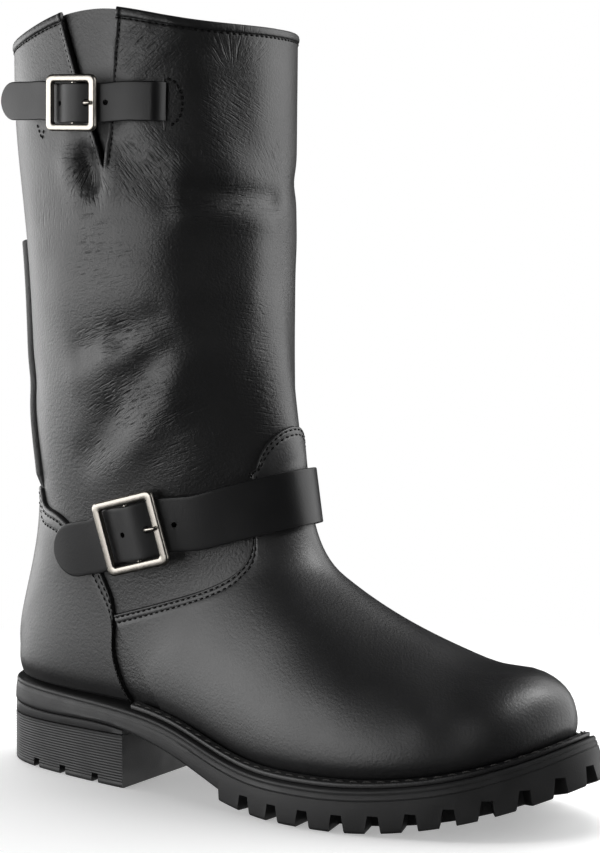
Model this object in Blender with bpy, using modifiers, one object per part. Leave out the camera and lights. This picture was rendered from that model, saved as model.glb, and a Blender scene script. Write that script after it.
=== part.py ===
"""Tall buckle boot for the right foot, in metres: +X to the toe, +Y to the inner side, +Z up.

The tables are in millimetres, in the frame of the last: x 0 at the back of the heel, z 0 on
the floor. The empty "boot" carries that frame to the middle of the boot's own box.
"""
import bmesh
import bpy
import numpy as np
from mathutils import Matrix, Vector

MM = 0.001
BOX_MIDDLE = (155.0, -8.13)     # the boot's middle in the frame of the last
GAP = 0.3                       # between pieces that meet
STAND_OFF = 0.5                 # overlays from the upper, whose faces are wider
FEATHER = 0.9                   # lower edge of the upper over the sole

SOLE_LENGTH = 310.0
HEEL_LENGTH = 92.0
TREAD_BACK = 151.0              # rear edge of the forefoot tread
FLAT_FROM, FLAT_TO = 184.0, 212.0
TOE_SPRING = 22.0
TREAD_RISE = 3.9                # at the tread's rear edge
SOLE_THICK = 19.0               # of the forefoot
TOE_LEAN, LEAN_FROM = 5.0, 225.0    # the toe's side leans back at its top, as the sole bends up
HEEL_TOP_BACK, HEEL_TOP_FRONT = 23.0, 25.2
LUG_FIRST, LUG_PITCH = 15.3, 16.6    # along the edge from the tread's rear corner
LUG_GAP, LUG_TAPER, LUG_DEPTH, LUG_REACH = 10.2, 0.47, 8.0, 15.0
HEEL_NOTCHES = (32.0, 51.5, 74.0)

WALL = 2.2                      # upper leather
OVERLAY = 1.5                   # vamp
COUNTER = 1.8
STAY = 2.6                      # folded edge of the back stay
WELT_THICK, WELT_CLEAR = 2.4, 0.9
INSOLE_THICK, INSOLE_IN, INSOLE_SHARE = 3.0, 4.6, 0.9
LAST_BACK, LAST_TOE = 5.0, 294.0
HEEL_TUCK = 6.0                 # foot form's rear end, inside the leg form
BLEND_TOP, BLEND_SIDE, BLEND_REACH = 34.0, 15.0, 26.0
LEG_FULLNESS = 2.15
COLLAR_LIFT, LIFT_MIDDLE, LIFT_REACH = 11.0, 0.235, 0.105

SLIT_TOP, SLIT_FOOT = (70.0, 101.5, 362.0), (94.0, 290.0)
RINGS, COLUMNS = 21, 42         # of the upper's mesh
FIRST_RING = 0.063              # above the feather line, on the same scale

SOLE_COLUMNS = ("along", "middle", "half", "top")
SOLE_ROWS = (
    (0, -1, 0, 41), (10, -2, 24.5, 40.9), (36, -2.3, 35.8, 40.4), (58, -3.8, 38, 39.7),
    (92, -6.5, 39, 38), (120, -7.2, 39.8, 33.2), (150, -6.3, 43.5, 23.4), (170, -5, 47.6, 19.6),
    (190, -3.3, 51.2, 18.9), (215, 0.3, 52.8, 19.2), (240, 4.8, 50, 21.2), (262, 8.5, 45, 25.1),
    (280, 10.6, 36.6, 30.3), (295, 13.2, 26, 36.1), (305, 15, 14.6, 40.8), (310, 15.8, 0, 43))
SHANK_COLUMNS = ("along", "under")
SHANK_ROWS = ((0, 29.4), (50, 28.8), (92, 27.8), (108, 24.2), (123, 19.6), (137, 14.2), (151, 8.6))

# Foot sections: half width at the feather line, bulge over it, crest height, fullness of the arch
FOOT_COLUMNS = ("along", "middle", "half", "bulge", "crest", "fullness")
FOOT_ROWS = (
    (5, -3, 0, 0, 46, 2.2), (15, -3, 15.5, 1, 60, 2.2), (36, -3, 25.5, 2, 88, 2),
    (60, -4, 29.5, 2.4, 116, 1.9), (92, -6, 31.2, 2.6, 138, 1.8), (120, -6.4, 32.6, 3, 139, 1.75),
    (150, -5.3, 36.3, 3, 126, 1.8), (190, -2.5, 43.2, 2.8, 97.6, 1.9), (215, 1, 44.6, 2.6, 83, 2),
    (240, 5, 41.6, 2.4, 72.2, 2.2), (258, 8, 36.4, 2, 67, 2.3), (272, 10.3, 30.2, 1.6, 66.4, 2.35),
    (284, 12.7, 21.8, 1, 63, 2.3), (290.6, 14.7, 13, 0.6, 57.6, 2.25), (294, 16, 0, 0.4, 48, 2.2))
# Level sections of heel and leg
LEG_COLUMNS = ("height", "centre", "long", "wide", "middle")
LEG_ROWS = (
    (30, 58, 50, 29.5, -3.5), (43, 58, 52.5, 30.5, -3.5), (62, 61.2, 57.4, 32.6, -3.5),
    (80, 66.2, 58.2, 34.6, -3.5), (100, 73.2, 58.9, 37, -3.4), (128, 81.8, 61.8, 41.6, -3.1),
    (165, 85.2, 66.8, 47.8, -2.8), (200, 84.6, 66.8, 51.6, -2.3), (250, 83.5, 67.1, 55.2, -2),
    (280, 82, 68.7, 56.5, -2), (312, 80.4, 70.5, 57.6, -2), (352, 80.3, 70.8, 58.6, -2),
    (375, 80.3, 71, 58.8, -2))
# Rings of the upper, from the feather line to the collar: front and back points, end roundness
RING_COLUMNS = ("share", "front_x", "front_z", "back_x", "back_z", "front_round", "back_round")
RING_ROWS = (
    (0, 293.9, 41, 5, 42, 26, 30), (0.05, 294.2, 53, 3, 46, 26, 31), (0.1, 279, 66, 2, 50, 25, 32),
    (0.2, 238, 75, 1, 58, 24, 33), (0.3, 200, 91, 2, 68, 24, 34), (0.4, 174, 116, 6, 84, 28, 38),
    (0.5, 160, 154, 11, 112, 40, 46), (0.6, 153, 194, 13, 152, 52, 54), (0.7, 151, 234, 11, 204, 58, 58),
    (0.8, 151, 273, 9, 256, 62, 62), (0.9, 151.5, 313, 8, 304.6, 64, 64), (1, 153, 353.8, 7, 349.4, 65, 65))

# Seams in the side view, x and z
VAMP_EDGE = ((105, 87.7), (120, 92.4), (138, 99.5), (148, 106.6), (152, 114.9), (152.6, 123), (151.2, 137),
             (151, 150.5), (152.3, 158), (154.8, 163.6), (158.6, 167.6), (170, 171))
COUNTER_EDGE = ((-20, 137), (12, 136), (35, 133), (48.5, 127.3), (62, 120.4), (71.5, 111.6), (79, 98),
                (83, 88), (84, 79), (83, 69), (86, 55), (91.5, 41))
STAY_HALF, STAY_FOOT, STAY_TOP = 28.5, 138.0, 257.0

STRAP_LIFT = 4.1                # inner face of a strap over the upper
CHAPE_LIFT, CHAPE_THICK = 2.9, 1.2
BUCKLE_LIFT = 7.9               # frame's back face over the upper's tangent plane
BUCKLE_DEEP = 3.0
PIN = 1.0                       # radius of centre bar and prong
HOLD_REACH = 24.0               # from the buckle to where its strap lies on the leather again

MATERIALS = {                   # colour, roughness, metallic
    "rubber": ((0.022, 0.022, 0.023), 0.72, 0.0),
    "leather": ((0.012, 0.012, 0.013), 0.38, 0.0),
    "strap leather": ((0.014, 0.014, 0.015), 0.45, 0.0),
    "lining": ((0.05, 0.045, 0.04), 0.8, 0.0),
    "nickel": ((0.62, 0.60, 0.57), 0.28, 1.0),
}


def spline(knots, values):
    """Natural cubic spline as a function of arrays."""
    knots, values = np.asarray(knots, float), np.asarray(values, float)
    count, step = len(knots), np.diff(knots)
    rise = np.diff(values, axis=0).T / step
    system = np.eye(count)
    right = np.zeros(values.shape)
    for i in range(1, count - 1):
        system[i, i - 1:i + 2] = step[i - 1], 2 * (step[i - 1] + step[i]), step[i]
        right[i] = 6 * (rise.T[i] - rise.T[i - 1])
    bend = np.linalg.solve(system, right)

    def at(x):
        x = np.clip(x, knots[0], knots[-1])
        i = np.clip(np.searchsorted(knots, x) - 1, 0, count - 2)
        width = step[i]
        a = (knots[i + 1] - x) / width
        b = 1 - a
        if values.ndim > 1:
            a, b, width = a[..., None], b[..., None], width[..., None]
        bent = (a**3 - a) * bend[i] + (b**3 - b) * bend[i + 1]
        return a * values[i] + b * values[i + 1] + bent * width**2 / 6
    return at


def curves(columns, rows, warp=np.asarray):
    """One spline for each named column, over the first."""
    rows = np.array(rows, float)
    return {name: spline(warp(rows[:, 0]), rows[:, i]) for i, name in enumerate(columns) if i}


def turn(x, start, end):
    """Angle 0 to pi from one end to the other, so that widths over it close in round ends."""
    return np.arccos(np.clip(1 - 2 * (np.asarray(x, float) - start) / (end - start), -1, 1))


def sole_turn(x):
    return turn(x, 0, SOLE_LENGTH)


def last_turn(x):
    return turn(x, LAST_BACK, LAST_TOE)


SOLE = curves(SOLE_COLUMNS, SOLE_ROWS, sole_turn)
SHANK = curves(SHANK_COLUMNS, SHANK_ROWS)
FOOT = curves(FOOT_COLUMNS, FOOT_ROWS, last_turn)
LEG = curves(LEG_COLUMNS, LEG_ROWS)
RING = curves(RING_COLUMNS, RING_ROWS)


def sole_top(x):
    return SOLE["top"](sole_turn(x))


def sole_under(x):
    """Underside of the sole: seat and shank, then the tread with its rise and toe spring."""
    toe = TOE_SPRING * np.clip((x - FLAT_TO) / (SOLE_LENGTH - FLAT_TO), 0, 1)**2
    rear = TREAD_RISE * np.clip((FLAT_FROM - x) / (FLAT_FROM - TREAD_BACK), 0, 1)**2
    return np.where(x < TREAD_BACK, SHANK["under"](x), toe + rear)


def foot_field(x, y, z):
    """Below 0 inside the foot, about in millimetres near its surface."""
    inside = np.clip(x, LAST_BACK + HEEL_TUCK, LAST_TOE - 0.05)
    key = last_turn(inside)
    floor = sole_top(inside)
    rise = np.clip((z - floor) / np.maximum(FOOT["crest"](key) - floor, 0.5), 0, None)
    lobe = rise / 0.3 * np.exp(1 - rise / 0.3)
    half = np.maximum(FOOT["half"](key), 0.05) + FOOT["bulge"](key) * lobe
    across = np.abs(y - FOOT["middle"](key)) / half
    power = FOOT["fullness"](key)
    return 40 * ((across**power + rise**power)**(1 / power) - 1 + np.abs(x - inside))


def leg_field(x, y, z):
    along = np.abs((x - LEG["centre"](z)) / LEG["long"](z))
    across = np.abs((y - LEG["middle"](z)) / LEG["wide"](z))
    return 55 * ((along**LEG_FULLNESS + across**LEG_FULLNESS)**(1 / LEG_FULLNESS) - 1)


def field(x, y, z):
    """Foot and leg joined, with a wide fillet over the instep and a small one at the sides."""
    foot, leg = foot_field(x, y, z), leg_field(x, y, z)
    soft = BLEND_SIDE + BLEND_TOP * np.exp(-(y / BLEND_REACH)**2)
    near = np.clip(soft - np.abs(foot - leg), 0, None) / soft
    return np.minimum(foot, leg) - near**2 * soft / 4


def surface_along(start, way):
    """Where rays from inside leave the leather's outer face."""
    low, high = np.zeros(start.shape[:-1]), np.full(start.shape[:-1], 140.0)
    for _ in range(40):
        middle = (low + high) / 2
        outside = field(*np.moveaxis(start + way * middle[..., None], -1, 0)) > 0
        high, low = np.where(outside, middle, high), np.where(outside, low, middle)
    return start + way * ((low + high) / 2)[..., None]


def surface_normal(points):
    step = 0.4 * np.eye(3)
    slope = [field(*(points + d).T) - field(*(points - d).T) for d in step]
    slope = np.stack(slope, -1)
    return slope / np.linalg.norm(slope, axis=-1, keepdims=True)


def upper(share, around):
    """Points of the upper's outer face: share 0 at the feather line to 1 at the collar,
    around 0 at the front, 0.25 on the outer side, 0.5 at the back."""
    share, around = np.broadcast_arrays(np.asarray(share, float), np.asarray(around, float))
    ring = {name: at(share) for name, at in RING.items()}
    run = ring["front_x"] - ring["back_x"]
    front, back = ring["front_round"], ring["back_round"]
    straight = run - front - back
    way = 2 * np.minimum(around, 1 - around) * (straight + np.pi / 2 * (front + back))
    bend = np.pi / 2 * front
    angle = np.where(way < bend, way / front, np.pi / 2 + np.clip(way - bend - straight, 0, None) / back)
    base = ring["back_x"] + back + np.clip(straight + bend - way, 0, straight)
    side = np.where(around <= 0.5, -1.0, 1.0)
    foot_middle = FOOT["middle"](last_turn(base))
    middle = np.where(share < 0.5, foot_middle, LEG["middle"](ring["back_z"]))
    tilt = (ring["front_z"] - ring["back_z"]) / run
    settle = np.clip(1 - share / 0.3, 0, 1)**2

    def height(x):
        level = ring["back_z"] + tilt * (x - ring["back_x"])
        return level + settle * (sole_top(x) + FEATHER - level)

    low, high = np.zeros(share.shape), np.full(share.shape, 130.0)
    for _ in range(40):
        reach = (low + high) / 2
        x = base + np.cos(angle) * reach
        y = middle + np.sin(angle) * side * reach
        outside = field(x, y, height(x)) > 0
        high, low = np.where(outside, reach, high), np.where(outside, low, reach)
    lobe = np.exp(-((around - LIFT_MIDDLE) / LIFT_REACH)**2)
    lift = COLLAR_LIFT * lobe * np.clip((share - 0.72) / 0.28, 0, 1)**2
    return np.stack([x, y, height(x) + lift], -1)


def material(kind):
    made = bpy.data.materials.get(kind)
    if made is None:
        made = bpy.data.materials.new(kind)
        made.use_nodes = True
        shader = made.node_tree.nodes["Principled BSDF"]
        colour, rough, metal = MATERIALS[kind]
        shader.inputs["Base Color"].default_value = (*colour, 1)
        shader.inputs["Roughness"].default_value = rough
        shader.inputs["Metallic"].default_value = metal
    return made


def add(name, shape, kind=None):
    """New object from a bmesh; without a material it is a cutter."""
    mesh = bpy.data.meshes.new(name)
    shape.to_mesh(mesh)
    shape.free()
    made = bpy.data.objects.new(name, mesh)
    made.parent = boot
    if kind:
        mesh.materials.append(material(kind))
        mesh.shade_smooth()
        mesh.set_sharp_from_angle(angle=np.radians(38))
        parts.objects.link(made)
    else:
        made.hide_render = True
        made.display_type = "WIRE"
        cutters.objects.link(made)
    return made


def skin(points, shape, wrap_rows=False):
    """Faces between neighbouring rows of points; each row closes on itself if wrap_rows."""
    rows = [[shape.verts.new(p * MM) for p in row] for row in points]
    for one, two in zip(rows, rows[1:]):
        last = len(one) if wrap_rows else len(one) - 1
        for i in range(last):
            j = (i + 1) % len(one)
            shape.faces.new((one[i], one[j], two[j], two[i]))
    return rows


def loft(name, rows, kind=None):
    """Closed solid through rings that run out along one side and back along the other."""
    shape = bmesh.new()
    rings = skin(rows, shape, wrap_rows=True)
    for ring in (rings[0], rings[-1]):
        for i in range(len(ring) // 2 - 1):
            shape.faces.new((ring[i], ring[i + 1], ring[-2 - i], ring[-1 - i]))
    bmesh.ops.remove_doubles(shape, verts=shape.verts, dist=0.00002)
    bmesh.ops.dissolve_degenerate(shape, edges=shape.edges, dist=0.000002)
    bmesh.ops.recalc_face_normals(shape, faces=shape.faces)
    if shape.calc_volume(signed=True) < 0:
        bmesh.ops.reverse_faces(shape, faces=shape.faces)
    return add(name, shape, kind)


def prism(name, outline, near, far):
    """Cutter: a side-view outline of x and z, swept from y near to y far."""
    flat = bpy.data.curves.new(name, "CURVE")
    flat.dimensions = "2D"
    flat.fill_mode = "BOTH"
    flat.extrude = (far - near) / 2 * MM
    line = flat.splines.new("POLY")
    line.points.add(len(outline) - 1)
    for point, (x, z) in zip(line.points, outline):
        point.co = (x * MM, z * MM, 0, 1)
    line.use_cyclic_u = True
    drawn = bpy.data.objects.new(name, flat)
    cutters.objects.link(drawn)
    upright = Matrix.Rotation(np.pi / 2, 4, "X")
    drawn.matrix_world = Matrix.Translation((0, (near + far) / 2 * MM, 0)) @ upright
    bpy.context.view_layer.update()
    mesh = bpy.data.meshes.new_from_object(drawn.evaluated_get(bpy.context.evaluated_depsgraph_get()))
    mesh.transform(drawn.matrix_world)
    bpy.data.objects.remove(drawn)
    shape = bmesh.new()
    shape.from_mesh(mesh)
    bpy.data.meshes.remove(mesh)
    bmesh.ops.remove_doubles(shape, verts=shape.verts, dist=0.000001)
    bmesh.ops.recalc_face_normals(shape, faces=shape.faces)
    return add(name, shape)


def blocks(name, places, size, taper=1.0):
    """Cutter: boxes at the given matrices, narrowed at the top."""
    shape = bmesh.new()
    for place in places:
        made = bmesh.ops.create_cube(shape, size=MM)["verts"]
        for corner in made:
            narrow = taper if corner.co.z > 0 else 1
            corner.co = (corner.co.x * size[0], corner.co.y * size[1] * narrow, corner.co.z * size[2])
        bmesh.ops.transform(shape, matrix=place, verts=made)
    return add(name, shape)


def cut(target, tool, operation="DIFFERENCE"):
    step = target.modifiers.new(tool.name, "BOOLEAN")
    step.operation = operation
    step.solver = "EXACT"
    step.use_self = True            # neighbouring gaps meet round the toe
    step.object = tool


def outline(xs, inset=0.0, rise=0.0):
    """Sole outline out along the outer side and back along the inner, moved in by the inset;
    rise is the share of the sole's thickness that it leans back by."""
    xs = np.asarray(xs, float)
    key = sole_turn(xs)
    middle, half = SOLE["middle"](key), SOLE["half"](key)
    ring = np.concatenate([np.c_[xs, middle - half], np.c_[xs, middle + half][::-1]])
    ahead, behind = np.roll(ring, -1, 0), np.roll(ring, 1, 0)
    for first, second, end in ((-1, 0, 0), (len(xs) - 1, len(xs), -1)):
        if half[end] < 1:           # both sides meet in a round end
            behind[second], ahead[first] = ring[first - 1], ring[second + 1]
        else:                       # cut straight across
            behind[second], ahead[first] = ring[second], ring[first]
    slope = ahead - behind
    slope /= np.linalg.norm(slope, axis=1, keepdims=True)
    ring = ring + np.c_[-slope[:, 1], slope[:, 0]] * np.reshape(inset, (-1, 1))
    bent = np.clip((ring[:, 0] - LEAN_FROM) / (SOLE_LENGTH - LEAN_FROM), 0, 1)**2
    return ring - np.c_[rise * TOE_LEAN * bent, 0 * bent]


def stations(start, end, count, extra=()):
    """Lengthwise places, close together at round ends of the sole."""
    turns = np.linspace(sole_turn(start), sole_turn(end), count)
    return np.sort(np.r_[SOLE_LENGTH * (1 - np.cos(turns)) / 2, extra])


def raised(ring, height):
    return np.c_[ring, np.broadcast_to(height, len(ring))]


def frame_at(point, tangent, normal):
    """Matrix with local X along, Y across and Z out."""
    out = Vector(normal)
    along = Vector(tangent)
    along = (along - out * along.dot(out)).normalized()
    across = out.cross(along)
    turned = Matrix((along, across, out)).transposed().to_4x4()
    return Matrix.Translation(Vector(point) * MM) @ turned


def edge_places(lift, reach):
    """Matrices along the sole's edge, evenly spaced round the toe, with local X inward."""
    ring = outline(stations(TREAD_BACK, SOLE_LENGTH, 90))
    run = np.r_[0, np.cumsum(np.linalg.norm(np.diff(ring, axis=0), axis=1))]
    spots = np.arange(LUG_FIRST, run[-1] - 8, LUG_PITCH)
    return [edge_place(ring, run, spot, lift, reach) for spot in spots]


def edge_place(ring, run, spot, lift, reach):
    here, ahead, behind = ([np.interp(spot + d, run, ring[:, i]) for i in (0, 1)] for d in (0, 2, -2))
    along = Vector((ahead[0] - behind[0], ahead[1] - behind[1], 0)).normalized()
    inward = Vector((-along.y, along.x, 0))
    point = Vector((*here, float(sole_under(np.array(here[0]))) + lift)) + inward * reach
    turned = Matrix((inward, Vector((0, 0, 1)).cross(inward), Vector((0, 0, 1)))).transposed().to_4x4()
    return Matrix.Translation(point * MM) @ turned


def make_outsole():
    xs = stations(0, SOLE_LENGTH, 34, (TREAD_BACK - 0.15, TREAD_BACK + 0.15))
    both = np.r_[xs, xs[::-1]]
    under = sole_under(both)
    front = np.clip((both - 96) / 50, 0, 1)
    rows = [raised(outline(xs, 1.2), under), raised(outline(xs, 0), under + 1.0)]
    groove = 0.4 + 1.1 * front
    for drop, inset in ((5.2, 0.4), (4.7, groove), (4.1, groove), (3.6, 0.6), (0.9, 1.4), (0, 2.4)):
        ring = outline(xs, inset, 1 - drop / SOLE_THICK)
        rows.append(raised(ring, sole_top(ring[:, 0]) - drop))
    sole = loft("outsole", rows, "rubber")

    size = (LUG_REACH + 6, LUG_GAP, LUG_DEPTH * 2)
    places = edge_places(0, LUG_REACH / 2 - 3)
    cut(sole, blocks("lug gaps", places, size, LUG_TAPER))
    inner = stations(TREAD_BACK + 14, SOLE_LENGTH - 22, 16)
    ring = outline(inner, LUG_REACH + 4)
    under = sole_under(np.r_[inner, inner[::-1]])
    recess = loft("tread recess", [raised(ring, under - 4), raised(ring, under + LUG_DEPTH - 1)])
    bars = []
    for x in np.arange(TREAD_BACK + 25, SOLE_LENGTH - 35, 21.0):
        middle = float(SOLE["middle"](sole_turn(x)))
        wide = 2 * float(SOLE["half"](sole_turn(x))) - 2 * LUG_REACH - 17
        skew = Matrix.Rotation(0.22, 4, "Z") @ Matrix.Diagonal((1, wide, 1, 1))
        bars.append(Matrix.Translation((x * MM, middle * MM, float(sole_under(x)) * MM)) @ skew)
    cut(recess, blocks("tread bars", bars, (13.0, 1.0, 24.0)))
    cut(sole, recess)


def heel_rows(xs, heights_insets, lower, upper_line):
    both = np.r_[xs, xs[::-1]]
    low, high = lower(both), upper_line(both)
    return [raised(outline(xs, inset), low + (high - low) * share) for share, inset in heights_insets]


def heel_line(back, front):
    return lambda x: back + (front - back) * x / HEEL_LENGTH


def make_heel():
    xs = stations(0, HEEL_LENGTH, 13)
    top = heel_line(HEEL_TOP_BACK, HEEL_TOP_FRONT)
    ribs = [(0, 0.9), (0.035, 0.0)]
    for start in np.arange(0.22, 0.95, 0.15):
        ribs += [(start, 0.1), (start + 0.035, 0.55), (start + 0.07, 0.1)]
    ribs.append((1, 0.1))
    block = loft("heel_block", heel_rows(xs, ribs, lambda x: 0 * x, top), "rubber")
    spots = []
    for side in (-1, 1):
        for x in HEEL_NOTCHES:
            key = sole_turn(x)
            y = float(SOLE["middle"](key) + side * SOLE["half"](key))
            spots.append(Matrix.Translation((x * MM, y * MM, 0)) @ Matrix.Rotation(np.pi / 2, 4, "Z"))
    cut(block, blocks("heel notches", spots, (16.0, 5.2, 9.2), 0.75))

    lift_low = heel_line(HEEL_TOP_BACK + GAP, HEEL_TOP_FRONT + GAP)
    loft("heel_lift", heel_rows(xs, ((0, 0.7), (0.12, 0.3), (1, 0.5)), lift_low,
                                lambda x: SHANK["under"](x) - GAP), "rubber")


def make_welt():
    start = HEEL_LENGTH + 3
    xs = stations(start, SOLE_LENGTH, 30)
    far = outline(xs, 3.2, 1)
    feather = start + (xs - start) * (LAST_TOE - start) / (SOLE_LENGTH - start)
    inside = np.c_[feather, FOOT["middle"](last_turn(feather)), sole_top(feather) + GAP + WELT_THICK]
    sides = [surface_along(inside, np.array([0, side, 0])) + (0, side * WELT_CLEAR, 0) for side in (-1, 1)]
    near = np.concatenate([sides[0][:, :2], sides[1][::-1, :2]])
    near[:, 0] += 1.7 * np.clip((near[:, 0] - 265) / 30, 0, 1)
    rows = []
    for inner, outer in zip(near, far):
        low_in, low_out = sole_top(inner[0]) + GAP, sole_top(outer[0]) + GAP
        rows.append(np.array([[*inner, low_in], [*outer, low_out],
                              [*outer, low_out + WELT_THICK], [*inner, low_in + WELT_THICK]]))
    half_count = len(rows) // 2
    del rows[half_count]
    loft("welt", rows, "leather")


def make_insole():
    key = np.linspace(0, np.pi, 22)
    xs = LAST_BACK + INSOLE_IN + (LAST_TOE - LAST_BACK - 2 * INSOLE_IN) * (1 - np.cos(key)) / 2
    middle, half = FOOT["middle"](key), FOOT["half"](key) * INSOLE_SHARE
    ring = np.concatenate([np.c_[xs, middle - half], np.c_[xs, middle + half][::-1]])
    low = sole_top(ring[:, 0]) + 2 * GAP
    loft("insole", [raised(ring, low), raised(ring, low + INSOLE_THICK)], "lining")


def shell(name, shares, arounds, kind, out, thick, wrap):
    """A grid of the upper's outer face, moved out, with a wall on it (inward if thick is below 0)."""
    shape = bmesh.new()
    grid = upper(np.asarray(shares)[::-1, None], np.asarray(arounds)[None, :])
    skin(grid, shape, wrap_rows=wrap)       # from the top down, so that the faces point out
    bmesh.ops.triangulate(shape, faces=shape.faces, quad_method="FIXED")
    made = add(name, shape, kind)
    if out:
        move = made.modifiers.new("stand off", "DISPLACE")
        move.mid_level = 0
        move.strength = out * MM
    wall = made.modifiers.new("wall", "SOLIDIFY")
    wall.thickness = abs(thick) * MM
    wall.offset = 1 if thick > 0 else -1
    return made


def make_upper():
    shares = np.r_[0, np.linspace(FIRST_RING, 1, RINGS - 1)**1.2]
    arounds = np.arange(COLUMNS) / COLUMNS
    body = shell("upper", shares, arounds, "leather", 0, -WALL, True)
    left, right, top = SLIT_TOP
    edge = ((left, top + 14), SLIT_FOOT, (right, top + 14))
    cut(body, prism("collar slit", edge, -90, -30))

    lower = np.linspace(95.4, SOLE_LENGTH + 10, 24)
    foot = [(x, float(sole_top(min(x, SOLE_LENGTH))) + WELT_THICK + 2 * GAP) for x in lower]
    front = [(x + COUNTER + GAP, z) for x, z in COUNTER_EDGE if 54 < z < 86]
    edge = foot + [(SOLE_LENGTH + 10, 180)] + list(VAMP_EDGE[::-1]) + [(85 + COUNTER + 2, 82)] + front
    vamp = shell("vamp", shares[:14], arounds, "leather", STAND_OFF, OVERLAY, True)
    cut(vamp, prism("vamp outline", edge, -90, 90), "INTERSECT")

    edge = list(COUNTER_EDGE) + [(x, float(sole_top(max(x, 0))) + 2.4) for x in (88, 75, 60, 40, 20, -20)]
    back = shell("counter", shares[:14], arounds[8:35], "leather", STAND_OFF, COUNTER, False)
    cut(back, prism("counter outline", edge, -90, 90), "INTERSECT")

    stay = shell("back_stay", shares[10:18], np.linspace(0.36, 0.64, 15), "leather", STAND_OFF, STAY, False)
    strip = ((-30, STAY_FOOT), (60, STAY_FOOT), (60, STAY_TOP), (-30, STAY_TOP))
    cut(stay, prism("stay outline", strip, -2.6 - STAY_HALF, -2.6 + STAY_HALF), "INTERSECT")

    panel = shell("gusset", np.linspace(0.74, 0.995, 9), np.linspace(0.17, 0.36, 11), "leather",
                  -WALL - GAP - 0.3, -1.3, False)
    left, right, top = SLIT_TOP
    wide = ((left - 9, top + 14), (left - 6, 330), (SLIT_FOOT[0] - 8, 277), (SLIT_FOOT[0] + 8, 277),
            (right + 8, 330), (right + 9, top + 14))
    cut(panel, prism("gusset outline", wide, -90, -20), "INTERSECT")


def strap_hits(plane, slope, angles):
    """Points of the upper in a plane tilted along x; angle 0 at the front, 90 on the outer side."""
    px, pz = plane
    start = np.array([84.0, -3.0, pz + slope * (84.0 - px)])
    along = np.array([1, 0, slope]) / np.hypot(1, slope)
    ways = np.cos(angles)[:, None] * along + np.sin(angles)[:, None] * np.array([0, -1.0, 0])
    points = surface_along(np.broadcast_to(start, ways.shape), ways)
    return points, surface_normal(points)


def strap_set(name, plane, slope, ends, stiff, buckle_x, shift, lean, half, thick, chape_back, window, bar):
    """Long strap with free tip, short strap, buckle and prong, laid round the upper.

    The plane's point is x and z. A stiff tip keeps to its tangent by that share, off the leather's
    curve. The buckle is shifted across the strap and leans back at its top by degrees."""
    angles = np.radians(np.linspace(*ends, 241))
    points, normals = strap_hits(plane, slope, angles)
    run = np.r_[0, np.cumsum(np.linalg.norm(np.diff(points, axis=0), axis=1))]
    outer = np.where(points[:, 1] < -15, np.abs(points[:, 0] - buckle_x), np.inf)
    home = int(np.argmin(outer))
    run -= run[home]                    # grows toward the tip
    tangent = points[home - 3] - points[home + 3]
    place = frame_at(points[home], tangent, normals[home])
    place = place @ Matrix.Translation((0, shift * MM, 0)) @ Matrix.Rotation(-np.radians(lean), 4, "X")

    def local(along, out):
        return np.array(place @ Vector((-along * MM, 0, out * MM))) / MM

    def over(along, out):
        point = np.array([np.interp(along, run, points[:, i]) for i in range(3)])
        normal = np.array([np.interp(along, run, normals[:, i]) for i in range(3)])
        return point + normal / np.linalg.norm(normal) * out

    wide_in = window[0] / 2 + bar / 2
    middle = thick / 2
    low_out = BUCKLE_LIFT - GAP - middle - 0.4
    top_out = BUCKLE_LIFT + PIN + 2 * GAP + middle
    knots = [(d, over(d, STRAP_LIFT + middle)) for d in np.linspace(run[0], -wide_in - 14, 16)]
    knots[0] = (run[0], over(run[0], CHAPE_LIFT + middle))
    knots += [(-wide_in, local(-wide_in, low_out - 0.6)), (0.0, local(0, top_out)),
              (wide_in, local(wide_in, low_out - 0.3))]
    chape_top = CHAPE_LIFT + CHAPE_THICK + 3 * GAP
    off = wide_in + 6
    first = over(off, chape_top + middle)
    ahead = over(off + 1, chape_top + middle) - first
    knots += [(d, over(d, chape_top + middle) * (1 - stiff) + (first + ahead * (d - off)) * stiff)
              for d in np.linspace(off, run[-1], 5)]
    path = spline([d for d, _ in knots], np.array([p for _, p in knots]))

    def ribbon(label, spots, widths, height, at, held):
        """Flat strip along the path, turned with the buckle where that holds it."""
        centre = at(spots)
        ahead = at(spots + 0.5) - at(spots - 0.5)
        normal = np.stack([np.interp(spots, run, normals[:, i]) for i in range(3)], -1)
        across = np.cross(ahead, normal)
        across /= np.linalg.norm(across, axis=1, keepdims=True)
        near = held * np.clip(1 - (np.abs(spots) - wide_in - 2) / HOLD_REACH, 0, 1)[:, None]
        across = across * (1 - near) + np.array(place.col[1].xyz) * near
        across /= np.linalg.norm(across, axis=1, keepdims=True)
        out = np.cross(across, ahead)
        out /= np.linalg.norm(out, axis=1, keepdims=True)
        rings = [[p + sign * w * a + lift * height / 2 * n for sign, lift in
                  ((-1, -1), (-1, 1), (1, 1), (1, -1))] for p, a, n, w in zip(centre, across, out, widths)]
        return loft(label, np.array(rings), "strap leather")

    tip = run[-1]
    spots = np.r_[np.linspace(run[0] + 1, -wide_in - 8, 30), np.linspace(-wide_in - 4, wide_in + 4, 11),
                  np.linspace(wide_in + 8, tip - half, 4),
                  tip - half * (1 - np.sin(np.linspace(0.25, 1.45, 6)))]
    widths = half * np.sqrt(np.clip(1 - (np.clip(spots - (tip - half), 0, None) / half)**2, 0, 1))
    strap = ribbon(name + "_strap", spots, widths, thick, path, 1)

    short = np.linspace(2.0, chape_back, 9)
    chape = spline(short, np.array([over(d, CHAPE_LIFT + CHAPE_THICK / 2) for d in short]))
    spots = np.linspace(2.6, chape_back - 0.6, 8)
    ribbon(name + "_chape", spots, np.full(8, half - 1), CHAPE_THICK, chape, 0.6)

    make_buckle(name, place, window, bar)
    make_prong(name, place, window[0] / 2 + bar, strap)


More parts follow.
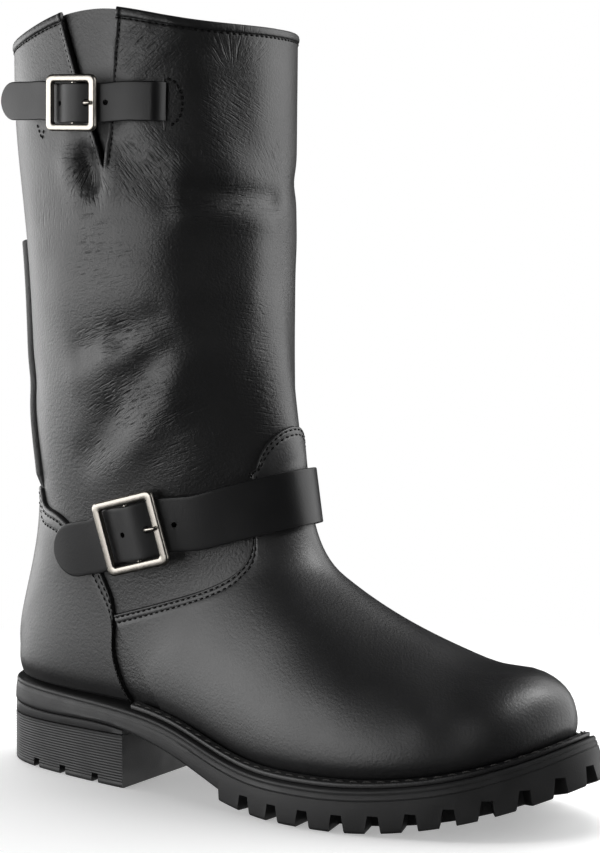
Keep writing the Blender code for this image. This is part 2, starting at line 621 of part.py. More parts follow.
def rounded(width, height, radius, count=5):
    """Corner points of a rounded rectangle."""
    points = []
    for k, (sx, sy) in enumerate(((1, 1), (-1, 1), (-1, -1), (1, -1))):
        for t in np.linspace(0, np.pi / 2, count):
            turn_by = t + k * np.pi / 2
            points.append((sx * (width / 2 - radius) + radius * np.cos(turn_by),
                           sy * (height / 2 - radius) + radius * np.sin(turn_by)))
    return points


def make_buckle(name, place, window, bar):
    wide, high = window
    outer = rounded(wide + 2 * bar, high + 2 * bar, 3.2)
    inner = rounded(wide, high, 1.2)
    rows = []
    for (ox, oy), (ix, iy) in zip(outer, inner):
        low, top, soft = BUCKLE_LIFT, BUCKLE_LIFT + BUCKLE_DEEP, 0.22
        cx, cy = ox + (ix - ox) * soft, oy + (iy - oy) * soft
        dx, dy = ix + (ox - ix) * soft, iy + (oy - iy) * soft
        rows.append([(ix, iy, low + 0.7), (dx, dy, low), (cx, cy, low), (ox, oy, low + 0.7),
                     (ox, oy, top - 0.7), (cx, cy, top), (dx, dy, top), (ix, iy, top - 0.7)])
    shape = bmesh.new()
    skin(np.array(rows + rows[:1]), shape, wrap_rows=True)
    bmesh.ops.remove_doubles(shape, verts=shape.verts, dist=0.00002)
    bmesh.ops.recalc_face_normals(shape, faces=shape.faces)
    frame = add(name + "_buckle", shape, "nickel")
    frame.matrix_basis = place
    pin = bmesh.new()
    lying = Matrix.Translation((0, 0, (BUCKLE_LIFT + 0.15) * MM)) @ Matrix.Rotation(np.pi / 2, 4, "X")
    bmesh.ops.create_cone(pin, cap_ends=True, segments=12, radius1=PIN * MM, radius2=PIN * MM,
                          depth=(high + bar) * MM, matrix=lying)
    rod = add(name + " centre bar", pin)
    rod.matrix_basis = place
    cut(frame, rod, "UNION")


def make_prong(name, place, far, strap):
    """Pin from beside the centre bar through the strap to the top of the front bar."""
    top = BUCKLE_LIFT + BUCKLE_DEEP + GAP + PIN
    route = ((2.6, BUCKLE_LIFT - 1.0), (4.6, BUCKLE_LIFT + 1.2), (6.6, top - 1.2), (9.0, top),
             (far - 0.6, top))
    wire = bpy.data.curves.new(name + "_prong", "CURVE")
    wire.dimensions = "3D"
    wire.bevel_depth = PIN * MM
    wire.bevel_resolution = 2
    wire.use_fill_caps = True
    line = wire.splines.new("POLY")
    line.points.add(len(route) - 1)
    for point, (x, z) in zip(line.points, route):
        point.co = (x * MM, 0, z * MM, 1)
    pin = bpy.data.objects.new(name + "_prong", wire)
    pin.parent = boot
    pin.matrix_basis = place
    wire.materials.append(material("nickel"))
    parts.objects.link(pin)

    hole = bmesh.new()
    tilt = Matrix.Translation((4.9 * MM, 0, (BUCKLE_LIFT + 1.4) * MM)) @ Matrix.Rotation(0.72, 4, "Y")
    bmesh.ops.create_cone(hole, cap_ends=True, segments=16, radius1=1.7 * MM, radius2=1.7 * MM,
                          depth=11 * MM, matrix=tilt)
    tool = add(name + " strap hole", hole)
    tool.matrix_basis = place
    cut(strap, tool)


for old in list(bpy.data.objects):
    bpy.data.objects.remove(old)
parts = bpy.data.collections.new("buckle boot")
cutters = bpy.data.collections.new("cutters")
for group in (parts, cutters):
    bpy.context.scene.collection.children.link(group)
boot = bpy.data.objects.new("boot", None)
boot.location = (-BOX_MIDDLE[0] * MM, -BOX_MIDDLE[1] * MM, 0)
parts.objects.link(boot)

make_outsole()
make_heel()
make_welt()
make_insole()
make_upper()
strap_set("instep", plane=(104, 122.2), slope=0.27, ends=(-128, 129.5), stiff=0.4, buckle_x=101.5,
          shift=1.4, lean=9, half=12.9, thick=2.2, chape_back=44, window=(25.1, 27.2), bar=4)
strap_set("collar", plane=(84, 321.4), slope=-0.035, ends=(52, 135), stiff=0.75, buckle_x=83.5,
          shift=-1.2, lean=0, half=8.9, thick=2, chape_back=38, window=(21, 18.8), bar=3.5)
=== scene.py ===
"""Looks of a tall buckle boot for the right foot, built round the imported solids.

Sizes are in millimetres in the frame of the last: x 0 at the back of the heel, y + to the
inner side, z 0 on the floor. The boot's own frame is that frame moved by BOX_MIDDLE.
"""

import bmesh
import bpy
import numpy as np
from mathutils import Matrix, Vector


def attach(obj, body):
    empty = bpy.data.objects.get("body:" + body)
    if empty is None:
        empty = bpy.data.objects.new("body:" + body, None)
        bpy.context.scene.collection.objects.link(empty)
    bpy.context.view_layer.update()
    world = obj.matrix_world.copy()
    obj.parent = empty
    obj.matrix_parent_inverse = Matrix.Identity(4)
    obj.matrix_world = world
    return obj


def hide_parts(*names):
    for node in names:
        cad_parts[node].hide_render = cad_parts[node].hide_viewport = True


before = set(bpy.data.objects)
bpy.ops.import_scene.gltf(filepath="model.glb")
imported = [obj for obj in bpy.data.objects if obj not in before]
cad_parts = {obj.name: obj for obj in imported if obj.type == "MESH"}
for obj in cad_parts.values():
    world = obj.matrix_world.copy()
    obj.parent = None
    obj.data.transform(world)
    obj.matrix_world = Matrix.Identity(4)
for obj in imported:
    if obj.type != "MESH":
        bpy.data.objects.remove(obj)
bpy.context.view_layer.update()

# Outsole
# One full-length moulding of black rubber: lugged forefoot, arched waist and a seat over the heel.
# The side has a rounded top edge, a bevelled band and a groove, all from the mould.
MM = 0.001
BOX_MIDDLE = np.array((155.0, -8.13, 0.0))
SOLE_LENGTH, HEEL_LENGTH, TREAD_BACK = 310.0, 92.0, 151.0
FLAT_FROM, FLAT_TO, TOE_SPRING, TREAD_RISE = 184.0, 212.0, 22.0, 3.9
SOLE_THICK, TOE_LEAN, LEAN_FROM = 19.0, 5.0, 225.0
LUG_FIRST, LUG_PITCH = 15.3, 16.6           # along the edge from the tread's rear corner
LUG_GAP, LUG_TAPER, LUG_DEPTH, LUG_REACH = 10.2, 0.47, 8.0, 15.0
LUG_OVER = 6.0                  # of a gap's cutter past the sole's edge
RECESS_BACK, RECESS_TOE, RECESS_IN = 14.0, 22.0, 4.0    # hollow middle of the tread
BAR_FIRST, BAR_LAST, BAR_PITCH, BAR_SKEW = 25.0, 35.0, 21.0, 0.22
BAR_SIZE, BAR_IN = (13.0, 1.0, 24.0), 17.0
FOREFOOT_FROM, FOREFOOT_RUN = 96.0, 50.0    # where the side's groove sets in
SOLE_COLUMNS = ("along", "middle", "half", "top")
SOLE_ROWS = (
    (0, -1, 0, 41), (10, -2, 24.5, 40.9), (36, -2.3, 35.8, 40.4), (58, -3.8, 38, 39.7),
    (92, -6.5, 39, 38), (120, -7.2, 39.8, 33.2), (150, -6.3, 43.5, 23.4), (170, -5, 47.6, 19.6),
    (190, -3.3, 51.2, 18.9), (215, 0.3, 52.8, 19.2), (240, 4.8, 50, 21.2), (262, 8.5, 45, 25.1),
    (280, 10.6, 36.6, 30.3), (295, 13.2, 26, 36.1), (305, 15, 14.6, 40.8), (310, 15.8, 0, 43))
SHANK_COLUMNS = ("along", "under")
SHANK_ROWS = ((0, 29.4), (50, 28.8), (92, 27.8), (108, 24.2), (123, 19.6), (137, 14.2), (151, 8.6))
# Rounded lower edge of the side: lift and inset
LOW_ROWS = ((0, 1.2), (0.3, 0.6), (0.9, 0.15), (1.6, 0))
# The side under its top edge: drop, inset, and depth of a groove on the forefoot
SIDE_ROWS = (
    (8.2, 0.1, 0), (7.5, 0.15, 0), (6.6, 0.2, 0), (5.2, 0.3, 0), (4.9, 0.35, 0.25), (4.7, 0.35, 0.25),
    (4.4, 0.4, 0), (2.6, 0.7, 0), (2.35, 0.9, 0), (2.15, 0.9, 0), (1.9, 0.75, 0), (1.2, 0.75, 0),
    (0.6, 0.95, 0), (0.2, 1.4, 0), (0, 2.4, 0))


def spline(knots, values):
    """Natural cubic spline through values at knots, as a function of whole arrays."""
    knots, values = np.asarray(knots, float), np.asarray(values, float)
    count, step = len(knots), np.diff(knots)
    rise = np.diff(values, axis=0).T / step
    system = np.eye(count)
    right = np.zeros(values.shape)
    for i in range(1, count - 1):
        system[i, i - 1:i + 2] = step[i - 1], 2 * (step[i - 1] + step[i]), step[i]
        right[i] = 6 * (rise.T[i] - rise.T[i - 1])
    bend = np.linalg.solve(system, right)

    def at(x):
        x = np.clip(x, knots[0], knots[-1])
        i = np.clip(np.searchsorted(knots, x) - 1, 0, count - 2)
        width = step[i]
        a = (knots[i + 1] - x) / width
        b = 1 - a
        if values.ndim > 1:
            a, b, width = a[..., None], b[..., None], width[..., None]
        bent = (a**3 - a) * bend[i] + (b**3 - b) * bend[i + 1]
        return a * values[i] + b * values[i + 1] + bent * width**2 / 6
    return at


def curves(columns, rows, warp=np.asarray):
    """One spline for each named column, over the first."""
    rows = np.array(rows, float)
    return {name: spline(warp(rows[:, 0]), rows[:, i]) for i, name in enumerate(columns) if i}


def turn(x, start, end):
    """Angle 0 to pi from one end to the other, so that widths over it close in round ends."""
    return np.arccos(np.clip(1 - 2 * (np.asarray(x, float) - start) / (end - start), -1, 1))


def sole_turn(x):
    return turn(x, 0, SOLE_LENGTH)


SOLE = curves(SOLE_COLUMNS, SOLE_ROWS, sole_turn)
SHANK = curves(SHANK_COLUMNS, SHANK_ROWS)


def sole_top(x):
    return SOLE["top"](sole_turn(x))


def sole_under(x):
    """Underside of the sole: seat and shank, then the tread with its rise and toe spring."""
    toe = TOE_SPRING * np.clip((x - FLAT_TO) / (SOLE_LENGTH - FLAT_TO), 0, 1)**2
    rear = TREAD_RISE * np.clip((FLAT_FROM - x) / (FLAT_FROM - TREAD_BACK), 0, 1)**2
    return np.where(x < TREAD_BACK, SHANK["under"](x), toe + rear)


def stations(start, end, count, extra=()):
    """Lengthwise places, close together at the round ends of the sole."""
    turns = np.linspace(sole_turn(start), sole_turn(end), count)
    return np.sort(np.r_[SOLE_LENGTH * (1 - np.cos(turns)) / 2, extra])


def unit(vectors):
    return vectors / np.linalg.norm(vectors, axis=-1, keepdims=True)


def outline(xs, inset=0.0, rise=0.0):
    """Sole outline out along the outer side and back along the inner, moved in by the inset;
    round the toe it leans back by the rise, a share of the sole's thickness."""
    key = sole_turn(xs)
    middle, half = SOLE["middle"](key), SOLE["half"](key)
    ring = np.concatenate([np.c_[xs, middle - half], np.c_[xs, middle + half][::-1]])
    ahead, behind = np.roll(ring, -1, 0), np.roll(ring, 1, 0)
    for first, second, end in ((-1, 0, 0), (len(xs) - 1, len(xs), -1)):
        if half[end] < 1:           # both sides meet in a round end
            behind[second], ahead[first] = ring[first - 1], ring[second + 1]
        else:                       # cut straight across
            behind[second], ahead[first] = ring[second], ring[first]
    slope = unit(ahead - behind)
    ring = ring + np.c_[-slope[:, 1], slope[:, 0]] * np.reshape(inset, (-1, 1))
    bent = np.clip((ring[:, 0] - LEAN_FROM) / (SOLE_LENGTH - LEAN_FROM), 0, 1)**2
    return ring - np.c_[rise * TOE_LEAN * bent, 0 * bent]


def raised(ring, height):
    return np.c_[ring, np.broadcast_to(height, len(ring))]


def grid_faces(rows, columns, close_columns=False):
    """Quads of a grid of points as corner numbers; columns may close on themselves."""
    row = np.arange(rows - 1)[:, None] * columns
    column = np.arange(columns if close_columns else columns - 1)[None, :]
    following = (column + 1) % columns
    quads = [row + column, row + following, row + columns + following, row + columns + column]
    return np.stack(quads, -1).reshape(-1, 4)


def cap_faces(first, count):
    """Quads across a ring that runs out along one side and back along the other."""
    near = first + np.arange(count // 2 - 1)
    far = first + count - 1 - np.arange(count // 2 - 1)
    return np.stack([near, near + 1, far - 1, far], -1)


def add_mesh(name, points, faces, *finishes, sharp=40, inner=None, closed=True):
    """Object from points in the frame of the last and quads; doubles are merged, faces point out."""
    mesh = bpy.data.meshes.new(name)
    mesh.from_pydata((points.reshape(-1, 3) - BOX_MIDDLE) * MM, (), faces)
    for finish in finishes:
        mesh.materials.append(finish)
    if inner is not None:
        mesh.polygons.foreach_set("material_index", inner.astype(np.int32))
    shape = bmesh.new()
    shape.from_mesh(mesh)
    bmesh.ops.remove_doubles(shape, verts=shape.verts, dist=0.00001)
    bmesh.ops.dissolve_degenerate(shape, edges=shape.edges, dist=0.000001)
    bmesh.ops.recalc_face_normals(shape, faces=shape.faces)
    if closed and shape.calc_volume(signed=True) < 0:
        bmesh.ops.reverse_faces(shape, faces=shape.faces)
    shape.to_mesh(mesh)
    shape.free()
    mesh.shade_smooth()
    mesh.set_sharp_from_angle(angle=np.radians(sharp))
    made = bpy.data.objects.new(name, mesh)
    bpy.context.scene.collection.objects.link(made)
    return made


def loft(name, rings, finish, **options):
    """Closed solid through rings that run out along one side and back along the other."""
    rings = np.array(rings)
    rows, columns = rings.shape[:2]
    caps = [cap_faces(0, columns), cap_faces((rows - 1) * columns, columns)]
    faces = np.concatenate([grid_faces(rows, columns, True), *caps])
    return add_mesh(name, rings, faces, finish, **options)


def boxes(name, places, size, taper):
    """Cutter of boxes at the given matrices, narrowed at the top by taper."""
    corner = np.array([(x, y, z) for x in (-1, 1) for y in (-1, 1) for z in (-1, 1)]) / 2
    corner[:, 1] *= np.where(corner[:, 2] > 0, taper, 1)
    local = np.c_[corner * size, np.ones(8)]
    points = np.concatenate([local @ np.array(place).T for place in places])[:, :3]
    quads = np.array(((0, 1, 3, 2), (4, 6, 7, 5), (0, 4, 5, 1), (2, 3, 7, 6), (0, 2, 6, 4), (1, 5, 7, 3)))
    faces = np.concatenate([quads + 8 * i for i in range(len(places))])
    return add_mesh(name, points, faces)


def cut(target, *tools):
    """Takes the tools' shapes out of the target and removes the tools."""
    for tool in tools:
        step = target.modifiers.new(tool.name, "BOOLEAN")
        step.use_self = True
        step.object = tool
    graph = bpy.context.evaluated_depsgraph_get()
    mesh = bpy.data.meshes.new_from_object(target.evaluated_get(graph))
    target.modifiers.clear()
    target.data = mesh
    for tool in tools:
        bpy.data.objects.remove(tool)


def linear(code):
    """Linear colour of an sRGB hex value."""
    share = np.array([int(code[i:i + 2], 16) for i in (1, 3, 5)]) / 255
    return (*np.where(share > 0.04045, ((share + 0.055) / 1.055)**2.4, share / 12.92), 1.0)


def add_node(tree, kind, sockets, **settings):
    """A node with its settings; a socket takes a value or the socket that feeds it."""
    made = tree.nodes.new("ShaderNode" + kind)
    for name, value in settings.items():
        setattr(made, name, value)
    for name, value in sockets.items():
        if isinstance(value, bpy.types.NodeSocket):
            tree.links.new(value, made.inputs[name])
        else:
            made.inputs[name].default_value = value
    return made


def new_finish(name):
    made = bpy.data.materials.new(name)
    made.use_nodes = True
    made.node_tree.nodes.clear()
    return made, made.node_tree


def close_finish(tree, shader):
    add_node(tree, "OutputMaterial", {"Surface": shader.outputs[0]})


def moulded_rubber(name):
    """Vulcanised black rubber from a steel mould: matt and faintly dusty, with a dull skin."""
    made, tree = new_finish(name)
    place = add_node(tree, "TexCoord", {}).outputs["Object"]
    cloud = add_node(tree, "TexNoise", {"Vector": place, "Scale": 1000 / 14, "Detail": 5.0})
    colour = add_node(tree, "Mix", {"Factor": cloud.outputs["Fac"], 6: linear("#191919"),
                                    7: linear("#262627")}, data_type="RGBA")
    rough = add_node(tree, "MapRange", {"Value": cloud.outputs["Fac"], "From Min": 0.3, "From Max": 0.7,
                                        "To Min": 0.46, "To Max": 0.6})
    skin = add_node(tree, "TexNoise", {"Vector": place, "Scale": 1000 / 0.7, "Detail": 3.0})
    bump = add_node(tree, "Bump", {"Height": skin.outputs["Fac"], "Strength": 0.35, "Distance": 0.0002})
    close_finish(tree, add_node(tree, "BsdfPrincipled", {
        "Base Color": colour.outputs[2], "Roughness": rough.outputs[0], "Normal": bump.outputs[0]}))
    return made


def fit(piece, slot, *nodes):
    """Ties a finished piece to the boot's body and hides the solids that it stands for; the slot is not
    used.
    """
    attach(piece, "root")
    if nodes:
        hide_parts(*nodes)


def run_along(points):
    """Distance of each point along the line through them."""
    return np.r_[0, np.cumsum(np.linalg.norm(np.diff(points, axis=0), axis=1))]


def at_run(spots, run, values):
    """Values at distances along a line, between those of its points."""
    return np.stack([np.interp(spots, run, column) for column in values.T], -1)


def edge_places(reach):
    """Matrices along the tread's edge, evenly spaced round the toe, with local X inward."""
    ring = outline(stations(TREAD_BACK, SOLE_LENGTH, 90))
    run = run_along(ring)
    places = []
    for spot in np.arange(LUG_FIRST, run[-1] - 8, LUG_PITCH):
        here, ahead, behind = (at_run(spot + d, run, ring) for d in (0, 2, -2))
        along = Vector((*(ahead - behind), 0)).normalized()
        inward = Vector((-along.y, along.x, 0))
        point = Vector((*here, float(sole_under(np.array(here[0]))))) + inward * reach
        turned = Matrix((inward, Vector((0, 0, 1)).cross(inward), Vector((0, 0, 1)))).transposed().to_4x4()
        places.append(Matrix.Translation(point) @ turned)
    return places


rubber = moulded_rubber("moulded rubber")
sole_xs = stations(0, SOLE_LENGTH, 150, (TREAD_BACK - 0.15, TREAD_BACK + 0.15))
sole_both = np.r_[sole_xs, sole_xs[::-1]]
sole_rings = [raised(outline(sole_xs, inset), sole_under(sole_both) + lift)
              for lift, inset in LOW_ROWS]
forefoot = np.clip((sole_both - FOREFOOT_FROM) / FOREFOOT_RUN, 0, 1)
for drop, inset, groove in SIDE_ROWS:
    sole_ring = outline(sole_xs, inset + groove * forefoot, 1 - drop / SOLE_THICK)
    sole_rings.append(raised(sole_ring, sole_top(sole_ring[:, 0]) - drop))
sole = loft("rubber_sole", sole_rings, rubber)

lug_size = (LUG_REACH + LUG_OVER, LUG_GAP, LUG_DEPTH * 2)
lug_gaps = boxes("lug gaps", edge_places((LUG_REACH - LUG_OVER) / 2), lug_size, LUG_TAPER)
tread_xs = stations(TREAD_BACK + RECESS_BACK, SOLE_LENGTH - RECESS_TOE, 30)
tread_ring = outline(tread_xs, LUG_REACH + RECESS_IN)
tread_low = sole_under(np.r_[tread_xs, tread_xs[::-1]])
recess = loft("tread recess", [raised(tread_ring, tread_low + up) for up in (-4, LUG_DEPTH - 1)], None)
bar_places = []
for bar_x in np.arange(TREAD_BACK + BAR_FIRST, SOLE_LENGTH - BAR_LAST, BAR_PITCH):
    bar_key = sole_turn(bar_x)
    wide = 2 * float(SOLE["half"](bar_key)) - 2 * LUG_REACH - BAR_IN
    skew = Matrix.Rotation(BAR_SKEW, 4, "Z") @ Matrix.Diagonal((1, wide, 1, 1))
    bar_at = (bar_x, float(SOLE["middle"](bar_key)), float(sole_under(bar_x)))
    bar_places.append(Matrix.Translation(bar_at) @ skew)
cut(recess, boxes("tread bars", bar_places, BAR_SIZE, 1.0))
cut(sole, lug_gaps, recess)
sole.data.set_sharp_from_angle(angle=np.radians(35))
fit(sole, "rubber", "outsole")

# Heel
# A rubber block under a thin rubber wedge, both cemented and nailed to the seat from inside.
# The block's side is ribbed by the mould, and its lower edge is notched like the forefoot.
GAP = 0.3
HEEL_TOP_BACK, HEEL_TOP_FRONT = 23.0, 25.2
HEEL_NOTCHES = (32.0, 51.5, 74.0)           # along the heel, on both sides
NOTCH_SIZE, NOTCH_TAPER = (16.0, 5.2, 9.2), 0.75
RIB_PITCH, RIB_DEPTH, RIB_FROM, RIB_TO = 1.3, 0.22, 0.08, 0.97
LIFT_ROWS = ((0, 1.0), (0.05, 0.5), (0.15, 0.25), (0.9, 0.35), (1, 0.8))    # share of height, inset
heel_xs = stations(0, HEEL_LENGTH, 60)
heel_both = np.r_[heel_xs, heel_xs[::-1]]


def heel_line(back, front):
    return back + (front - back) * heel_both / HEEL_LENGTH


block_top = heel_line(HEEL_TOP_BACK, HEEL_TOP_FRONT)
rib_count = int(HEEL_TOP_BACK / RIB_PITCH)
rib_steps = np.linspace(RIB_FROM, RIB_TO, rib_count * 4 + 1)
rib_turn = np.linspace(0, 2 * np.pi * rib_count, len(rib_steps))
rib_insets = 0.1 + RIB_DEPTH * (0.5 - 0.5 * np.cos(rib_turn))
block_steps = np.r_[0, 0.012, 0.04, rib_steps, 0.985, 1]
block_insets = np.r_[0.9, 0.3, 0.05, rib_insets, 0.15, 0.5]
heel = loft("rubber_heel", [raised(outline(heel_xs, inset), block_top * step)
                            for step, inset in zip(block_steps, block_insets)], rubber)
notch_places = []
for notch_side in (-1, 1):
    for notch_x in HEEL_NOTCHES:
        notch_key = sole_turn(notch_x)
        notch_y = float(SOLE["middle"](notch_key) + notch_side * SOLE["half"](notch_key))
        notch_places.append(Matrix.Translation((notch_x, notch_y, 0)) @ Matrix.Rotation(np.pi / 2, 4, "Z"))
cut(heel, boxes("heel notches", notch_places, NOTCH_SIZE, NOTCH_TAPER))
heel.data.set_sharp_from_angle(angle=np.radians(35))
lift_low = block_top + GAP
lift_high = SHANK["under"](heel_both) - GAP
lift = loft("rubber_lift", [raised(outline(heel_xs, inset), lift_low + (lift_high - lift_low) * step)
                            for step, inset in LIFT_ROWS], rubber)
fit(heel, "rubber", "heel_block")
fit(lift, "rubber", "heel_lift")

# Shaft
# The upper is one wall of full-grain cowhide, cut in two halves and closed at the back, lasted
# over the foot and pulled in to the sole. It is open at the collar, with a slit for the gusset.
WALL, FEATHER = 2.2, 0.9
LAST_BACK, LAST_TOE, HEEL_TUCK = 5.0, 294.0, 6.0
BLEND_TOP, BLEND_SIDE, BLEND_REACH = 34.0, 15.0, 26.0
LEG_FULLNESS = 2.15
COLLAR_LIFT, LIFT_MIDDLE, LIFT_REACH, LIFT_FROM = 11.0, 0.235, 0.105, 0.72
SETTLE_SHARE = 0.3              # of the upper's height, where the rings leave the sole's line
SLIT_TOP, SLIT_FOOT = (70.0, 101.5, 362.0), (94.0, 290.0)
FOOT_COLUMNS = ("along", "middle", "half", "bulge", "crest", "fullness")
FOOT_ROWS = (
    (5, -3, 0, 0, 46, 2.2), (15, -3, 15.5, 1, 60, 2.2), (36, -3, 25.5, 2, 88, 2),
    (60, -4, 29.5, 2.4, 116, 1.9), (92, -6, 31.2, 2.6, 138, 1.8), (120, -6.4, 32.6, 3, 139, 1.75),
    (150, -5.3, 36.3, 3, 126, 1.8), (190, -2.5, 43.2, 2.8, 97.6, 1.9), (215, 1, 44.6, 2.6, 83, 2),
    (240, 5, 41.6, 2.4, 72.2, 2.2), (258, 8, 36.4, 2, 67, 2.3), (272, 10.3, 30.2, 1.6, 66.4, 2.35),
    (284, 12.7, 21.8, 1, 63, 2.3), (290.6, 14.7, 13, 0.6, 57.6, 2.25), (294, 16, 0, 0.4, 48, 2.2))
LEG_COLUMNS = ("height", "centre", "long", "wide", "middle")
LEG_ROWS = (
    (30, 58, 50, 29.5, -3.5), (43, 58, 52.5, 30.5, -3.5), (62, 61.2, 57.4, 32.6, -3.5),
    (80, 66.2, 58.2, 34.6, -3.5), (100, 73.2, 58.9, 37, -3.4), (128, 81.8, 61.8, 41.6, -3.1),
    (165, 85.2, 66.8, 47.8, -2.8), (200, 84.6, 66.8, 51.6, -2.3), (250, 83.5, 67.1, 55.2, -2),
    (280, 82, 68.7, 56.5, -2), (312, 80.4, 70.5, 57.6, -2), (352, 80.3, 70.8, 58.6, -2),
    (375, 80.3, 71, 58.8, -2))
RING_COLUMNS = ("share", "front_x", "front_z", "back_x", "back_z", "front_round", "back_round")
RING_ROWS = (
    (0, 293.9, 41, 5, 42, 26, 30), (0.05, 294.2, 53, 3, 46, 26, 31), (0.1, 279, 66, 2, 50, 25, 32),
    (0.2, 238, 75, 1, 58, 24, 33), (0.3, 200, 91, 2, 68, 24, 34), (0.4, 174, 116, 6, 84, 28, 38),
    (0.5, 160, 154, 11, 112, 40, 46), (0.6, 153, 194, 13, 152, 52, 54), (0.7, 151, 234, 11, 204, 58, 58),
    (0.8, 151, 273, 9, 256, 62, 62), (0.9, 151.5, 313, 8, 304.6, 64, 64), (1, 153, 353.8, 7, 349.4, 65, 65))
# Folds of the worn shaft: angle and height where each starts and where it ends, half width of the
# bell across it, and rise, below 0 for a trough. Angles are degrees round the leg, 0 at the front
# and 90 on the outer side.
FOLD_ROWS = (
    (106, 234, 66, 238, 17, 1.3), (100, 206, 76, 213, 7.5, -1.3), (76, 213, 57, 221, 7, -1.5),
    (104, 194, 80, 205, 9, 0.9), (80, 205, 58, 213, 8, 1.0), (51, 210, 62, 198, 9, -1.3),
    (62, 198, 84, 175, 10, -2.0), (84, 175, 102, 154, 10, -1.8), (50, 196, 52, 184, 9, 0.8),
    (52, 184, 63, 168, 9, 1.0), (63, 168, 77, 152, 9, 1.0), (32, 252, 32, 176, 17, -2.3),
    (50, 264, 49, 222, 10, 0.5), (11, 262, 11, 180, 9, 0.8), (44, 234, 16, 233, 6, 0.5),
    (44, 203, 16, 206, 6, 0.6), (38, 280, 2, 276, 5.4, -2.4),
    (40, 293, 14, 290, 8, 0.9), (43, 269, 4, 266, 6, 1.2), (96, 303, 99, 291, 6, 0.8),
    (99, 291, 94, 279, 7, 0.9), (88, 296, 86, 284, 5.6, -4.4), (77, 298, 75, 284, 7, 1.3),
    (72, 307, 50, 278, 8, -1.2), (64, 309, 45, 293, 8, 1.0), (67, 333, 46, 353, 3.6, 0.9),
    (70, 342, 56, 354, 3.4, 0.7), (62, 331, 41, 350, 3.4, 0.8), (24, 338, 20, 326, 11, -1.4),
    (22, 315, 12, 290, 9, -0.8), (124, 300, 128, 230, 16, 0.6), (-40, 240, -75, 222, 10, -1.5),
    (-42, 256, -80, 240, 14, 1.2), (-50, 205, -96, 188, 10, -1.5), (-58, 190, -100, 174, 10, 1.1),
    (-20, 284, -60, 290, 7, -1.2), (150, 190, 176, 182, 9, -0.8), (-150, 196, -176, 188, 9, -0.8))
FOLD_ROUND = 1.08               # millimetres of leather for a degree
FOLD_FOOT, FOLD_FADE = 138.0, 22.0          # the folds fade out down to the instep strap
TUCK, TUCK_REACH = 2.0, 6.0     # the foot turns in over the welt
# Dents and swells of the foot: x, y and z of the middle, reach of the bell, rise
DENT_ROWS = (
    (258, -30, 46, 8, -0.5), (249, -32, 48, 9, 0.8), (277, -17, 48, 13, 1.3), (205, -38, 60, 16, 0.8),
    (180, -12, 98, 16, -0.9), (176, -28, 84, 14, 0.7), (228, 44, 48, 12, -1.0), (150, 28, 74, 14, -0.8))
FOOT_SCALE, LEG_SCALE, BULGE_HEIGHT = 40.0, 55.0, 0.3


def last_turn(x):
    return turn(x, LAST_BACK, LAST_TOE)


FOOT = curves(FOOT_COLUMNS, FOOT_ROWS, last_turn)
LEG = curves(LEG_COLUMNS, LEG_ROWS)
RING = curves(RING_COLUMNS, RING_ROWS)


def foot_field(x, y, z):
    """Below 0 inside the foot: arched sections on the sole's top line, about in millimetres."""
    inside = np.clip(x, LAST_BACK + HEEL_TUCK, LAST_TOE - 0.05)
    key = last_turn(inside)
    floor = sole_top(inside)
    rise = np.clip((z - floor) / np.maximum(FOOT["crest"](key) - floor, 0.5), 0, None)
    lobe = rise / BULGE_HEIGHT * np.exp(1 - rise / BULGE_HEIGHT)
    half = np.maximum(FOOT["half"](key), 0.05) + FOOT["bulge"](key) * lobe
    across = np.abs(y - FOOT["middle"](key)) / half
    power = FOOT["fullness"](key)
    return FOOT_SCALE * ((across**power + rise**power)**(1 / power) - 1 + np.abs(x - inside))


def leg_field(x, y, z):
    """Below 0 inside the leg: level sections that are full ellipses."""
    along = np.abs((x - LEG["centre"](z)) / LEG["long"](z))
    across = np.abs((y - LEG["middle"](z)) / LEG["wide"](z))
    return LEG_SCALE * ((along**LEG_FULLNESS + across**LEG_FULLNESS)**(1 / LEG_FULLNESS) - 1)


def field(x, y, z):
    """Foot and leg joined, with a wide fillet over the instep and a small one at the sides."""
    foot, leg = foot_field(x, y, z), leg_field(x, y, z)
    soft = BLEND_SIDE + BLEND_TOP * np.exp(-(y / BLEND_REACH)**2)
    near = np.clip(soft - np.abs(foot - leg), 0, None) / soft
    return np.minimum(foot, leg) - near**2 * soft / 4


def leave(outside, shape, far):
    """Distance at which a ray leaves the form, halved in until it is exact."""
    low, high = np.zeros(shape), np.full(shape, far)
    for _ in range(30):
        middle = (low + high) / 2
        out = outside(middle) > 0
        high, low = np.where(out, middle, high), np.where(out, low, middle)
    return (low + high) / 2


def surface_normal(points):
    """Slope of the field, by differences."""
    step = 0.4 * np.eye(3)
    axes = np.moveaxis(points, -1, 0)
    slope = [field(*(axes + np.reshape(d, (3,) + (1,) * (points.ndim - 1))))
             - field(*(axes - np.reshape(d, (3,) + (1,) * (points.ndim - 1)))) for d in step]
    return unit(np.stack(slope, -1))


